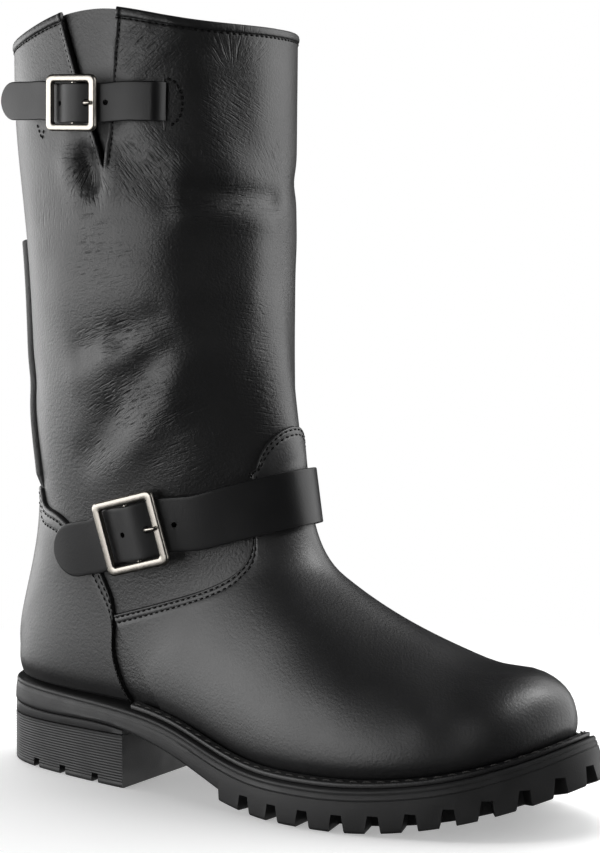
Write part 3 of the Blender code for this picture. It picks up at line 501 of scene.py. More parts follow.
def upper(share, around):
    """Smooth outer face of the upper: share 0 at the feather line to 1 at the collar,
    around 0 at the front, 0.25 on the outer side, 0.5 at the back."""
    share, around = np.broadcast_arrays(np.asarray(share, float), np.asarray(around, float) % 1.0)
    ring = {name: at(share) for name, at in RING.items()}
    run = ring["front_x"] - ring["back_x"]
    front, back = ring["front_round"], ring["back_round"]
    straight = run - front - back
    way = 2 * np.minimum(around, 1 - around) * (straight + np.pi / 2 * (front + back))
    bend = np.pi / 2 * front
    angle = np.where(way < bend, way / front, np.pi / 2 + np.clip(way - bend - straight, 0, None) / back)
    base = ring["back_x"] + back + np.clip(straight + bend - way, 0, straight)
    side = np.where(around <= 0.5, -1.0, 1.0)
    middle = np.where(share < 0.5, FOOT["middle"](last_turn(base)), LEG["middle"](ring["back_z"]))
    tilt = (ring["front_z"] - ring["back_z"]) / run
    settle = np.clip(1 - share / SETTLE_SHARE, 0, 1)**2

    def height(x):
        level = ring["back_z"] + tilt * (x - ring["back_x"])
        return level + settle * (sole_top(x) + FEATHER - level)

    def place(reach):
        x = base + np.cos(angle) * reach
        return x, middle + np.sin(angle) * side * reach, height(x)

    x, y, z = place(leave(lambda reach: field(*place(reach)), share.shape, 130.0))
    lobe = np.exp(-((around - LIFT_MIDDLE) / LIFT_REACH)**2)
    near_top = np.clip((share - LIFT_FROM) / (1 - LIFT_FROM), 0, 1)
    return np.stack([x, y, z + COLLAR_LIFT * lobe * near_top**2], -1)


def leg_angle(points):
    """Degrees round the leg, 0 at the front and 90 on the outer side."""
    z = points[..., 2]
    return np.degrees(np.arctan2(LEG["middle"](z) - points[..., 1], points[..., 0] - LEG["centre"](z)))


def relief(points):
    """Rise of the worn leather: a bell across each fold's line and round each dent's middle,
    and the tuck over the welt, deepest at the sole."""
    angle, height = leg_angle(points), points[..., 2]
    total = np.zeros(angle.shape)
    for from_angle, from_height, to_angle, to_height, reach, rise in FOLD_ROWS:
        line = np.array(((to_angle - from_angle) * FOLD_ROUND, to_height - from_height))
        off = (angle - from_angle + 180) % 360 - 180
        way = np.stack([off * FOLD_ROUND, height - from_height], -1)
        along = np.clip(way @ line / (line @ line), 0, 1)
        total += rise * np.exp(-np.sum((way - along[..., None] * line)**2, -1) / reach**2)
    total *= np.clip((height - FOLD_FOOT) / FOLD_FADE, 0, 1)
    for x, y, z, reach, rise in DENT_ROWS:
        total += rise * np.exp(-np.sum((points - (x, y, z))**2, -1) / reach**2)
    return total - TUCK * np.exp(-((height - sole_top(points[..., 0])) / TUCK_REACH)**2)


def leather(share, around):
    """Points of the worn outer face and the smooth form's normals."""
    points = upper(share, around)
    normals = surface_normal(points)
    return points + normals * relief(points)[..., None], normals


# Fine wrinkles lie in patches: angle and height of the middle, reach round and up, tilt of the
# lines from level in degrees, depth share, and for a fan the point that its lines run from
WRINKLE_GAP, WRINKLE_LENGTH = 1.25, 9.0     # millimetres across and along the lines
WRINKLE_ROWS = (
    (22, 272, 32, 10, 2, 1.1, None), (58, 289, 18, 16, -50, 1.3, None),
    (20, 346, 20, 12, 0, 0.7, (21, 330)), (22, 312, 16, 20, -32, 0.65, None),
    (4, 296, 12, 12, -60, 0.8, None), (86, 287, 16, 15, 0, 1.6, (85, 299)),
    (112, 268, 16, 26, 80, 0.8, None), (70, 214, 30, 10, 17, 1.0, None),
    (68, 182, 30, 16, 24, 1.1, None), (90, 158, 20, 10, 28, 0.9, None),
    (10, 200, 12, 40, -10, 0.6, None), (44, 158, 20, 10, 20, 0.7, None),
    (53, 344, 22, 13, 42, 0.75, None), (90, 250, 26, 16, 10, 0.6, None),
    (-60, 230, 30, 24, -16, 0.8, None), (-75, 180, 30, 16, -20, 0.8, None),
    (-30, 300, 30, 20, 20, 0.5, None), (170, 170, 26, 20, 0, 0.6, None))


def wrinkle_flow(points):
    """Per point: distance across the wrinkles' lines, distance along them, and their depth, which
    fades out where two patches are about as deep."""
    angle, height = leg_angle(points), points[..., 2]
    flow = np.stack([height, angle * FOLD_ROUND, np.zeros(angle.shape)], -1)
    second = np.zeros(angle.shape)
    for at_angle, at_height, reach, up, tilt, depth, fan in WRINKLE_ROWS:
        way = np.stack([((angle - at_angle + 180) % 360 - 180) * FOLD_ROUND, height - at_height])
        mask = depth * np.exp(-((way[0] / reach)**2 + (way[1] / up)**2)**1.5)
        if fan:
            from_fan = np.stack([((angle - fan[0] + 180) % 360 - 180) * FOLD_ROUND, height - fan[1]])
            across = np.arctan2(from_fan[1], from_fan[0]) * (reach + up) / 2
            along = np.hypot(*from_fan)
        else:
            tilted = np.radians(tilt)
            across = way[1] * np.cos(tilted) + way[0] * np.sin(tilted)
            along = way[0] * np.cos(tilted) - way[1] * np.sin(tilted)
        stronger = mask > flow[..., 2]
        second = np.where(stronger, flow[..., 2], np.maximum(second, mask))
        flow[stronger] = np.stack([across, along, mask], -1)[stronger]
    flow[..., 2] -= second
    return flow


def full_grain(name, grain, wrinkles, rough, colours):
    """Black full-grain cowhide, waxed and brushed: a satin sheen, pebbled grain and pulled wrinkles.

    The grain is drawn about 1.3 mm wide, a little coarser than real, so that it shows."""
    made, tree = new_finish(name)
    place = add_node(tree, "TexCoord", {}).outputs["Object"]
    cloud = add_node(tree, "TexNoise", {"Vector": place, "Scale": 1000 / 45, "Detail": 4.0,
                                        "Roughness": 0.6})
    colour = add_node(tree, "Mix", {"Factor": cloud.outputs["Fac"], 6: linear(colours[0]),
                                    7: linear(colours[1])}, data_type="RGBA")
    gloss = add_node(tree, "MapRange", {"Value": cloud.outputs["Fac"], "From Min": 0.3, "From Max": 0.7,
                                        "To Min": rough - 0.04, "To Max": rough + 0.05})
    wander = add_node(tree, "TexNoise", {"Vector": place, "Scale": 1000 / 6, "Detail": 2.0})
    moved = add_node(tree, "VectorMath", {0: wander.outputs["Color"], 1: (0.0012,) * 3, 2: place},
                     operation="MULTIPLY_ADD")
    cells = add_node(tree, "TexVoronoi", {"Vector": moved.outputs[0], "Scale": 1000 / 1.3},
                     feature="SMOOTH_F1")
    fine = add_node(tree, "TexNoise", {"Vector": place, "Scale": 1000 / 0.8, "Detail": 3.0})
    both = add_node(tree, "Math", {0: cells.outputs["Distance"], 1: -0.8, 2: fine.outputs["Fac"]},
                    operation="MULTIPLY_ADD")
    bump = add_node(tree, "Bump", {"Height": both.outputs[0], "Strength": grain, "Distance": 0.0003})
    if wrinkles:
        flow = add_node(tree, "Attribute", {}, attribute_name="wrinkle", attribute_type="GEOMETRY")
        split = add_node(tree, "SeparateXYZ", {"Vector": flow.outputs["Vector"]})
        across = add_node(tree, "Math", {0: split.outputs["X"], 1: 1 / WRINKLE_GAP}, operation="MULTIPLY")
        along = add_node(tree, "Math", {0: split.outputs["Y"], 1: 1 / WRINKLE_LENGTH}, operation="MULTIPLY")
        spread = add_node(tree, "CombineXYZ", {"X": across.outputs[0], "Y": along.outputs[0]})
        lines = add_node(tree, "TexNoise", {"Vector": spread.outputs[0], "Scale": 1.0, "Detail": 2.0,
                                            "Distortion": 0.7},
                         noise_type="RIDGED_MULTIFRACTAL", normalize=True)
        deep = add_node(tree, "Math", {0: lines.outputs["Fac"], 1: split.outputs["Z"]},
                        operation="MULTIPLY")
        bump = add_node(tree, "Bump", {"Height": deep.outputs[0], "Strength": wrinkles, "Distance": 0.0006,
                                       "Normal": bump.outputs[0]}, invert=True)
    close_finish(tree, add_node(tree, "BsdfPrincipled", {
        "Base Color": colour.outputs[2], "Roughness": gloss.outputs[0], "Normal": bump.outputs[0],
        "Specular IOR Level": 0.8, "Coat Weight": 0.25, "Coat Roughness": 0.42,
        "Coat Normal": bump.outputs[0]}))
    return made


def fabric_lining(name):
    """Dark pigskin lining, unfinished: matt with a soft nap."""
    made, tree = new_finish(name)
    place = add_node(tree, "TexCoord", {}).outputs["Object"]
    nap = add_node(tree, "TexNoise", {"Vector": place, "Scale": 1000 / 1.5, "Detail": 4.0})
    colour = add_node(tree, "Mix", {"Factor": nap.outputs["Fac"], 6: linear("#191817"),
                                    7: linear("#2a2826")}, data_type="RGBA")
    bump = add_node(tree, "Bump", {"Height": nap.outputs["Fac"], "Strength": 0.4, "Distance": 0.0003})
    close_finish(tree, add_node(tree, "BsdfPrincipled", {
        "Base Color": colour.outputs[2], "Roughness": 0.85, "Normal": bump.outputs[0]}))
    return made


def add_wrinkles(made):
    """Stores the wrinkles' flow on the piece's own points."""
    count = len(made.data.vertices)
    points = np.empty(count * 3, np.float32)
    made.data.vertices.foreach_get("co", points)
    flow = wrinkle_flow(points.reshape(-1, 3).astype(float) / MM + BOX_MIDDLE)
    made.data.attributes.new("wrinkle", "FLOAT_VECTOR", "POINT")
    made.data.attributes["wrinkle"].data.foreach_set("vector", flow.astype(np.float32).ravel())


shaft_leather = full_grain("full grain leather, shaft", 0.45, 1.0, 0.47, ("#0b0b0c", "#121213"))
lining = fabric_lining("pigskin lining")

ROWS_LOW, ROWS_LEG, COLUMNS, LEG_SHARE = 16, 108, 280, 0.3
COLLAR_SCALE = 408.0            # millimetres of height for the whole share, at the collar
RIM_START = 8.0                 # below the collar's edge, where the rows close up
RIM_STEPS = np.array((6.0, 5.0, 4.2, 3.6, 3.1, 2.9, 2.7, 2.5, 2.3, 2.0, 1.5, 0.9, 0.4, 0.0))
SLIT_STEPS = np.array((0, 0.0008, 0.0024, 0.0045))  # columns beside the slit, as shares of a ring
SLIT_ROUND = (-0.6, -0.15)      # rounding of its cut edge, in its first columns
SLIT_BEAD = (0.3, 0.5, 0.6, 0.45, -0.15)            # rise of the turned edge, from the slit to its seam
RIM_PUFF, RIM_MIDDLE, RIM_HALF = 0.75, 0.9, 1.5     # the bound rim is a half-round bead
RIM_SEAM, RIM_STITCH = 2.7, 3.1             # below the collar's edge
RIM_DIP, DIP_HALF = 0.3, 0.4                # groove along that seam
SLIT_NEAR, SLIT_SEARCH = 0.12, 0.26                 # part of a ring that holds the slit
INNER_SHARE = 0.8               # of the outer face's relief that shows inside


def slit_around(share, foot, top):
    """Where a ring meets a slit's edge, a straight line in the side view from its foot to its top."""
    slope = (top[0] - foot[0]) / (top[1] - foot[1])

    def past_edge(around):
        points = upper(share, around + SLIT_NEAR)
        return foot[0] + slope * np.clip(points[..., 2] - foot[1], 0, None) - points[..., 0]
    return SLIT_NEAR + leave(past_edge, np.shape(share), SLIT_SEARCH)


# Rows go up from the feather line, and one of them meets the slit's foot
front_top, back_top = (SLIT_TOP[1], SLIT_TOP[2]), (SLIT_TOP[0], SLIT_TOP[2])
probe = np.linspace(0.7, 0.95, 60)
probe_heights = upper(probe, slit_around(probe, SLIT_FOOT, front_top))[:, 2]
foot_share = float(np.interp(SLIT_FOOT[1], probe_heights, probe))
leg_shares = np.linspace(LEG_SHARE, 1 - RIM_START / COLLAR_SCALE, ROWS_LEG)
leg_shares[np.argmin(np.abs(leg_shares - foot_share))] = foot_share
shares = np.r_[np.linspace(0, LEG_SHARE, ROWS_LOW, endpoint=False), leg_shares,
               1 - RIM_STEPS / COLLAR_SCALE]
open_rows = shares > foot_share
# Columns run from the slit's front edge round the leg to its back edge; under its foot they meet
slit_shares = np.maximum(shares, foot_share)
from_edge = slit_around(slit_shares, SLIT_FOOT, front_top)
to_edge = slit_around(slit_shares, SLIT_FOOT, back_top)
to_edge = np.where(open_rows, to_edge, from_edge)
across = np.r_[SLIT_STEPS, np.linspace(0.006, 0.994, COLUMNS), 1 - SLIT_STEPS[::-1]]
around = from_edge[:, None] - across * (1 - to_edge + from_edge)[:, None]
outer, out_way = leather(shares[:, None], around)
smooth = upper(shares[:, None], around)
edge_drop = np.zeros(len(across))
edge_drop[:2] = edge_drop[:-3:-1] = SLIT_ROUND
edge_drop = edge_drop * open_rows[:, None]
edge_bead = np.zeros(len(across))
edge_bead[:5] = edge_bead[:-6:-1] = SLIT_BEAD
edge_bead = edge_bead * open_rows[:, None]
to_collar = (1 - shares) * COLLAR_SCALE
bead = RIM_PUFF * np.sqrt(np.clip(1 - ((to_collar - RIM_MIDDLE) / RIM_HALF)**2, 0, 1))
rim = bead - RIM_DIP * np.exp(-((to_collar - RIM_SEAM) / DIP_HALF)**2)
outer = outer + out_way * (edge_drop + edge_bead + rim[:, None])[..., None]
inner = smooth + out_way * (relief(smooth) * INNER_SHARE - WALL - edge_drop)[..., None]
rings = np.concatenate([outer, inner[:, ::-1]], 1)
middle_ring = (rings + rings[:, ::-1]) / 2
# The rim closes over both faces in a half round
rim_half = (WALL + bead[-1]) / 2
caps = []
for bend in np.linspace(0, np.pi / 2, 7)[1:]:
    cap = middle_ring[-1] + (rings[-1] - middle_ring[-1]) * np.cos(bend)
    caps.append(cap + np.array((0, 0, rim_half * np.sin(bend))))
rings = np.concatenate([rings, np.array(caps)])
# The slit's edges are faces only where it is open
row_count, ring_count = rings.shape[:2]
quads = grid_faces(row_count, ring_count, True).reshape(row_count - 1, ring_count, 4)
is_edge = np.zeros((row_count - 1, ring_count), bool)
is_edge[:, [len(across) - 1, -1]] = True
is_closed = np.r_[shares[1:] <= foot_share, np.zeros(row_count - len(shares), bool)]
keep = ~(is_edge & is_closed[:, None])
is_inner = np.zeros((row_count - 1, ring_count), bool)
is_inner[:len(shares) - 1, len(across):-1] = True
foot_edge = cap_faces(0, ring_count)
shaft = add_mesh("leather_shaft", rings, np.concatenate([quads[keep], foot_edge]), shaft_leather, lining,
                 inner=np.r_[is_inner[keep], np.ones(len(foot_edge), bool)], sharp=60)
add_wrinkles(shaft)
fit(shaft, "leather", "upper")

# Insole
# A footbed of thin leather, lined like the shaft and laid on the sole inside the upper. Only its
# top shows, down the shaft.
def dress(node, finish):
    """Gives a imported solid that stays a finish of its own."""
    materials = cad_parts[node].data.materials
    materials.clear()
    materials.append(finish)


dress("insole", lining)

# Gusset
# A soft leather panel sewn in behind the slit, so that the collar opens for the foot. It hangs
# just inside the wall and follows it, with a soft fold down its middle.
GUSSET_IN, GUSSET_THICK, GUSSET_FOOT, GUSSET_TOP = 2.8, 1.3, 277.0, 376.0
GUSSET_FRONT, GUSSET_BACK = (102, 113), (86, 61)    # x of its edges at foot and top
GUSSET_SHARES = 0.745, 0.996    # of the upper's height
GUSSET_FOLD, GUSSET_RISE = 1.1, 2.4


def slab(name, face, back, *finishes, **options):
    """Closed sheet from the grids of its two faces, joined round their borders."""
    rows, columns = face.shape[:2]
    number = np.arange(rows * columns).reshape(rows, columns)
    border = np.r_[number[0], number[1:, -1], number[-1, -2::-1], number[-2:0:-1, 0]]
    following = np.roll(border, -1)
    walls = np.stack([border, following, following + number.size, border + number.size], -1)
    quads = grid_faces(rows, columns)
    faces = np.concatenate([quads, quads[:, ::-1] + number.size, walls])
    return add_mesh(name, np.stack([face, back]), faces, *finishes, **options)


gusset_shares = np.linspace(*GUSSET_SHARES, 60)
gusset_from, gusset_to = (slit_around(gusset_shares, (foot_x, GUSSET_FOOT), (top_x, GUSSET_TOP))
                          for foot_x, top_x in (GUSSET_FRONT, GUSSET_BACK))
step = np.linspace(0, 1, 40)
gusset_around = gusset_from[:, None] + (gusset_to - gusset_from)[:, None] * step
gusset_smooth = upper(gusset_shares[:, None], gusset_around)
gusset_way = surface_normal(gusset_smooth)
gusset_fold = GUSSET_FOLD * np.sin(np.pi * step)**2
gusset_lift = relief(gusset_smooth) - GUSSET_IN - gusset_fold
gusset_face = gusset_smooth + gusset_way * gusset_lift[..., None]
gusset_face[..., 2] += GUSSET_RISE * np.clip((gusset_shares - 0.9) / 0.1, 0, 1)[:, None]
soft_leather = full_grain("full grain leather, soft split", 0.3, 0.0, 0.46, ("#101011", "#171718"))
gusset = slab("leather_gusset", gusset_face, gusset_face - gusset_way * GUSSET_THICK, soft_leather)
fit(gusset, "leather", "gusset")

# Back stay
# A wide leather panel over the closing seam at the back of the shaft, folded at its edges and
# sewn on from inside. Its lower end goes under the counter.
STAND_OFF, STAY, STAY_HALF, STAY_FOOT, STAY_TOP = 0.5, 2.6, 28.5, 133.0, 257.0
STAY_ROUND, BACK_MIDDLE = 1.3, -2.6
STAY_THIN, THIN_TO, THIN_RUN = 0.3, 4.0, 7.0        # its foot is skived to go under the counter


def stay_edge(share, side):
    """Around at which a ring crosses the stay's edge, a fixed distance from the back line."""
    def past_edge(reach):
        return np.abs(upper(share, 0.5 + side * reach)[..., 1] - BACK_MIDDLE) - STAY_HALF
    return 0.5 + side * leave(past_edge, np.shape(share), 0.2)


probe = np.linspace(0.5, 0.85, 80)
stay_ends = np.interp((STAY_FOOT, STAY_TOP), upper(probe, 0.5)[:, 2], probe)
near_edge = np.array((0, 0.05, 0.2, 0.45, 0.8, STAY_ROUND))
near_side = near_edge / (2 * STAY_HALF)
stay_run = np.r_[near_side, np.linspace(0.04, 0.96, 70), 1 - near_side[::-1]]
stay_fall = np.r_[np.linspace(0, 0.985, 70), 1 - near_edge[::-1] / (STAY_TOP - STAY_FOOT)]
stay_shares = stay_ends[0] + (stay_ends[1] - stay_ends[0]) * stay_fall
stay_from, stay_to = stay_edge(stay_shares, -1), stay_edge(stay_shares, 1)
stay_around = stay_from[:, None] + (stay_to - stay_from)[:, None] * stay_run
stay_points, stay_way = leather(stay_shares[:, None], stay_around)
side_gap = np.minimum(stay_run, 1 - stay_run)[None, :] * 2 * STAY_HALF
top_gap = (1 - stay_fall)[:, None] * (STAY_TOP - STAY_FOOT)
edge_gap = np.clip(np.minimum(side_gap, top_gap) / STAY_ROUND, 0, 1)
over_foot = np.clip((stay_points[..., 2] - STAY_FOOT - THIN_TO) / THIN_RUN, 0, 1)
skived = STAY_THIN + (1 - STAY_THIN) * over_foot
stay_lift = (STAND_OFF + STAY) * skived * np.sqrt(1 - (1 - edge_gap)**2)
stay = slab("leather_stay", stay_points + stay_way * stay_lift[..., None], stay_points - stay_way * 0.2,
            shaft_leather, sharp=60)
add_wrinkles(stay)
fit(stay, "leather", "back_stay")

# Vamp and counter
# Two leather overlays lasted over the foot: the vamp with its tongue up the front, and the counter
# round the heel, which lies over the vamp's ends. Both are sewn down with two rows of stitches.
OVERLAY, COUNTER = 1.5, 1.8
EDGE_ROUND, STITCH_ROWS, STITCH_DIP, DIP_REACH = 0.9, (1.7, 4.1), 0.32, 0.55
FOOT_THIN, THIN_SHARE = 0.3, 0.04           # skived at the feather line, over a share of the height
BURIED = 0.15                   # of an overlay's back in the leather under it
EDGE_STEPS = np.array((0, 0.06, 0.2, 0.45, 0.9, 1.3, 1.7, 2.1, 2.9, 3.7, 4.1, 4.5, 5.4))
# Seams in the side view: x and z
VAMP_EDGE = ((84, 81.4), (105, 87.7), (120, 92.4), (138, 99.5), (147.5, 106.6), (151, 114.9), (151.2, 123))
COUNTER_EDGE = ((35, 133), (48.5, 127.3), (62, 120.4), (71.5, 111.6), (79, 98),
                (83, 88), (84, 79), (83, 69), (86, 55), (91.5, 41))
# Seams round the leg: angle and z
TONGUE_EDGE = ((15.6, 139), (15, 149.3), (13.6, 157.5), (11.2, 163.4), (8, 167.6), (4, 170.5), (0, 171.4))
COUNTER_BACK = ((150, 135.4), (165, 136.4), (180, 136.8))
VAMP_END, VAMP_SPREAD, COUNTER_SPREAD = 0.312, 1.15, 0.9    # of the columns along the feather line


def cast(start, ways):
    """Points where rays from inside leave the smooth upper."""
    def off(reach):
        return field(*np.moveaxis(start + ways * reach[..., None], -1, 0))
    return start + ways * leave(off, ways.shape[:-1], 140.0)[..., None]


def on_leg(places):
    """Surface points at degrees round the leg and heights, on level rays from its middle line."""
    angle, z = np.radians(np.array(places, float)[:, 0]), np.array(places, float)[:, 1]
    start = np.stack([LEG["centre"](z), LEG["middle"](z), z], -1)
    return cast(start, np.stack([np.cos(angle), -np.sin(angle), 0 * angle], -1))


def on_side(places):
    """Surface points of the outer side at side-view places."""
    x, z = np.array(places, float).T
    start = np.stack([x, FOOT["middle"](last_turn(x)), z], -1)
    return cast(start, np.array([[0, -1.0, 0]]).repeat(len(x), 0))


def evenly(points, count):
    """Evenly spaced points on a smooth line through points."""
    run = run_along(points)
    return spline(run, points)(np.linspace(0, run[-1], count))


def locate(points):
    """Share and around of the places nearest to points on the outer side: the best of a coarse
    grid, then least-squares steps along the surface's two slopes."""
    grid_share, grid_around = np.meshgrid(np.linspace(0, 0.7, 60), np.linspace(0.002, 0.498, 90),
                                          indexing="ij")
    grid = upper(grid_share, grid_around).reshape(-1, 3)
    best = np.argmin(np.sum((grid - points[:, None])**2, -1), 1)
    share, around = grid_share.ravel()[best], grid_around.ravel()[best]
    for _ in range(25):
        here = upper(share, around)
        by_share = (upper(share + 0.001, around) - here) / 0.001
        by_around = (upper(share, around + 0.001) - here) / 0.001
        slopes = np.stack([by_share, by_around], -1)
        square = np.einsum("nij,nik->njk", slopes, slopes)
        pull = np.einsum("nij,ni->nj", slopes, points - here)
        move = np.clip(np.linalg.solve(square, pull[..., None])[..., 0], -0.02, 0.02)
        share = np.clip(share + move[:, 0], 0, 1)
        around = np.clip(around + move[:, 1], 0, 0.5)
    return share, around


def overlay(name, top_share, top_around, low_around, thick, rows, finish):
    """Sheet between a seam and the feather line on the worn upper, with a rounded, stitched edge.

    Each column runs from the seam down to the feather line; its rows are at fixed distances from
    the edge first, then even. Gives the piece and its rows of stitches as paths with normals."""
    coarse, _ = leather(np.linspace(top_share, 0, 40), np.linspace(top_around, low_around, 40))
    length = np.linalg.norm(np.diff(coarse, axis=0), axis=-1).sum(0)
    far = np.linspace(0, 1, rows - len(EDGE_STEPS) + 1)[1:, None]
    near = EDGE_STEPS[:, None]
    fixed = np.minimum(near, length * (near / EDGE_STEPS[-1]) * 0.5)
    way = np.concatenate([fixed, fixed[-1] + far * (length - fixed[-1])]) / np.maximum(length, 0.01)
    share = top_share * (1 - way)
    points, normals = leather(share, top_around + (low_around - top_around) * way)
    distance = way * length
    bulge = np.sqrt(1 - (1 - np.clip(distance / EDGE_ROUND, 0, 1))**2)
    dip = sum(np.exp(-((distance - row) / DIP_REACH)**2) for row in STITCH_ROWS) * STITCH_DIP
    full = np.clip(share / THIN_SHARE, 0, 1)
    lift = (STAND_OFF + thick) * bulge * (FOOT_THIN + (1 - FOOT_THIN) * full) - dip * full
    face = points + normals * lift[..., None]
    made = slab(name, face, points - normals * BURIED, finish, sharp=60)
    column = np.arange(face.shape[1])
    seams = []
    for row in STITCH_ROWS:
        low = np.clip(np.sum(distance < row, 0) - 1, 0, rows - 2)
        part = (row - distance[low, column]) / (distance[low + 1, column] - distance[low, column])
        part = np.clip(part, 0, 1)[:, None]
        seams.append((face[low, column] * (1 - part) + face[low + 1, column] * part, normals[low, column]))
    return made, seams


BEAD_RINGS, BEAD_SIDES = 7, 6
BEAD_TAPER, BEAD_FLAT, BEAD_PROUD = 0.985, 0.8, 0.45


def stitch_row(path, normals, length, pitch, radius, sink):
    """Points of stitches along a path: each a bead with its ends pulled down into the leather."""
    run = run_along(path)
    spots = np.arange(pitch / 2, run[-1] - pitch / 2, pitch)
    centre = at_run(spots, run, path)
    ahead = at_run(spots + 0.6, run, path) - at_run(spots - 0.6, run, path)
    out = unit(at_run(spots, run, normals))
    ahead = unit(ahead - out * np.sum(ahead * out, 1, keepdims=True))
    side = np.cross(out, ahead)
    step = np.linspace(-1, 1, BEAD_RINGS)[:, None]
    angle = np.linspace(0, 2 * np.pi, BEAD_SIDES, endpoint=False)[None, :]
    thick = radius * np.sqrt(1 - (BEAD_TAPER * step)**4)
    local_along = step * length / 2 + 0 * angle
    local_side = thick * np.cos(angle)
    local_out = thick * np.sin(angle) * BEAD_FLAT + radius * (BEAD_PROUD - sink * step**2)
    beads = (centre[:, None, None] + ahead[:, None, None] * local_along[..., None]
             + side[:, None, None] * local_side[..., None] + out[:, None, None] * local_out[..., None])
    return beads.reshape(-1, BEAD_RINGS, BEAD_SIDES, 3)


def sew(name, beads, finish):
    """One mesh of many stitches, each a closed bead."""
    beads = np.concatenate(beads)
    size = BEAD_RINGS * BEAD_SIDES
    end = np.array(((0, 1, 2, 3), (0, 3, 4, 5)))
    far_end = np.array(((0, 3, 2, 1), (0, 5, 4, 3))) + size - BEAD_SIDES
    one = np.concatenate([grid_faces(BEAD_RINGS, BEAD_SIDES, True), end, far_end])
    faces = (one + size * np.arange(len(beads))[:, None, None]).reshape(-1, 4)
    fit(add_mesh(name, beads, faces, finish, sharp=80), "leather")


def waxed_thread(name, colours):
    """Twisted polyester thread, waxed: a faint gloss and a fine diagonal twist."""
    made, tree = new_finish(name)
    place = add_node(tree, "TexCoord", {}).outputs["Object"]
    twist = add_node(tree, "TexNoise", {"Vector": place, "Scale": 1000 / 0.5, "Detail": 2.0})
    colour = add_node(tree, "Mix", {"Factor": twist.outputs["Fac"], 6: linear(colours[0]),
                                    7: linear(colours[1])}, data_type="RGBA")
    bump = add_node(tree, "Bump", {"Height": twist.outputs["Fac"], "Strength": 0.5, "Distance": 0.0002})
    close_finish(tree, add_node(tree, "BsdfPrincipled", {
        "Base Color": colour.outputs[2], "Roughness": 0.5, "Specular IOR Level": 0.15,
        "Normal": bump.outputs[0]}))
    return made


def lasted(name, side_edge, leg_edge, count, middle, low_start, spread, thick, rows):
    """Overlay whose seam is given on the outer side and mirrored over the front or back line.

    The columns spread along the feather line from low_start, or from the seam's own end."""
    half_share, half_around = locate(evenly(np.concatenate([on_side(side_edge), on_leg(leg_edge)]), count))
    half_around[-1] = middle
    start = half_around[0] if low_start is None else low_start
    half_low = start + (middle - start) * np.linspace(0, 1, count)**spread
    share = np.r_[half_share, half_share[-2::-1]]
    around, low = (np.r_[half, 2 * middle - half[-2::-1]] for half in (half_around, half_low))
    made, seams = overlay("leather_" + name, share, around, low, thick, rows, foot_leather)
    fit(made, "leather", name)
    return made, seams


foot_leather = full_grain("full grain leather, foot", 0.22, 0.0, 0.43, ("#0f0f10", "#171718"))
black_thread = waxed_thread("black waxed thread", ("#060606", "#121212"))
STITCH = {"length": 2.5, "pitch": 3.1, "radius": 0.42, "sink": 1.3}
vamp, vamp_seams = lasted("vamp", VAMP_EDGE, TONGUE_EDGE, count=150, middle=0.0, low_start=VAMP_END,
                          spread=VAMP_SPREAD, thick=OVERLAY, rows=64)
_, counter_seams = lasted("counter", COUNTER_EDGE[::-1], COUNTER_BACK, count=130, middle=0.5,
                          low_start=None, spread=COUNTER_SPREAD, thick=COUNTER, rows=56)
sew("foot_stitches", [stitch_row(*seam, **STITCH) for seam in vamp_seams + counter_seams], black_thread)

# Collar seams
# One row of black stitches holds the bound rim, one runs along each edge of the slit, and a half
# round of stitches holds the collar strap's end, which goes into the leather through a short cut.
FINE_STITCH = {"length": 2.0, "pitch": 2.6, "radius": 0.36, "sink": 1.3}
END_STITCH = {"length": 2.0, "pitch": 2.7, "radius": 0.6, "sink": 0.8}
CUT_ANGLE, CUT_LOW, CUT_HIGH, LIP_RADIUS = 49.0, 306.5, 332.5, 0.75
# Seams round the leg: angle and z
END_SEAM = ((48.2, 330.5), (45, 329), (42.6, 325), (41.8, 319.8), (42.6, 314.5), (45, 310.6), (48.2, 309))
ANCHOR_SEAM = ((118, 312), (114.6, 304.4), (112.6, 310.4))
EDGE_COLUMN = 4                 # of the shaft's grid, about 2.3 mm from the slit


def worn(points):
    """Smooth surface points moved out to the worn leather, and their normals."""
    normals = surface_normal(points)
    return points + normals * relief(points)[:, None], normals


rim_row = int(np.argmin(np.abs(to_collar - RIM_STITCH)))
slit_rows = np.flatnonzero(open_rows & (to_collar > RIM_STITCH + 1))
collar_beads = [stitch_row(outer[rim_row], out_way[rim_row], **STITCH)]
collar_beads += [stitch_row(outer[slit_rows, c], out_way[slit_rows, c], **FINE_STITCH)
                 for c in (EDGE_COLUMN, len(across) - 1 - EDGE_COLUMN)]
collar_beads += [stitch_row(*worn(evenly(on_leg(END_SEAM), 60)), **END_STITCH)]
collar_beads += [stitch_row(*worn(on_leg(np.linspace(*ends, 12))), **FINE_STITCH)
                 for ends in zip(ANCHOR_SEAM, ANCHOR_SEAM[1:])]
sew("collar_stitches", collar_beads, black_thread)


def tube(path, radii, up, sides=12):
    """Grid of circles along a path; radii of 0 at both ends close it."""
    ahead = np.gradient(path, axis=0)
    side = unit(np.cross(up, ahead))
    top = unit(np.cross(ahead, side))
    angle = np.linspace(0, 2 * np.pi, sides, endpoint=False)[:, None]
    ring = np.cos(angle) * side[:, None] + np.sin(angle) * top[:, None]
    return path[:, None] + ring * np.reshape(radii, (-1, 1, 1))


cut_heights = np.linspace(CUT_LOW, CUT_HIGH, 40)
cut_path, cut_way = worn(on_leg(np.c_[np.full(40, CUT_ANGLE), cut_heights]))
cut_radii = LIP_RADIUS * np.sqrt(np.clip(1 - np.linspace(-1, 1, 40)**4, 0, 1))
cut_lip = tube(cut_path, cut_radii, cut_way)
lip = add_mesh("leather_cut_lip", cut_lip, grid_faces(40, 12, True), shaft_leather, sharp=80)
add_wrinkles(lip)
fit(lip, "leather")

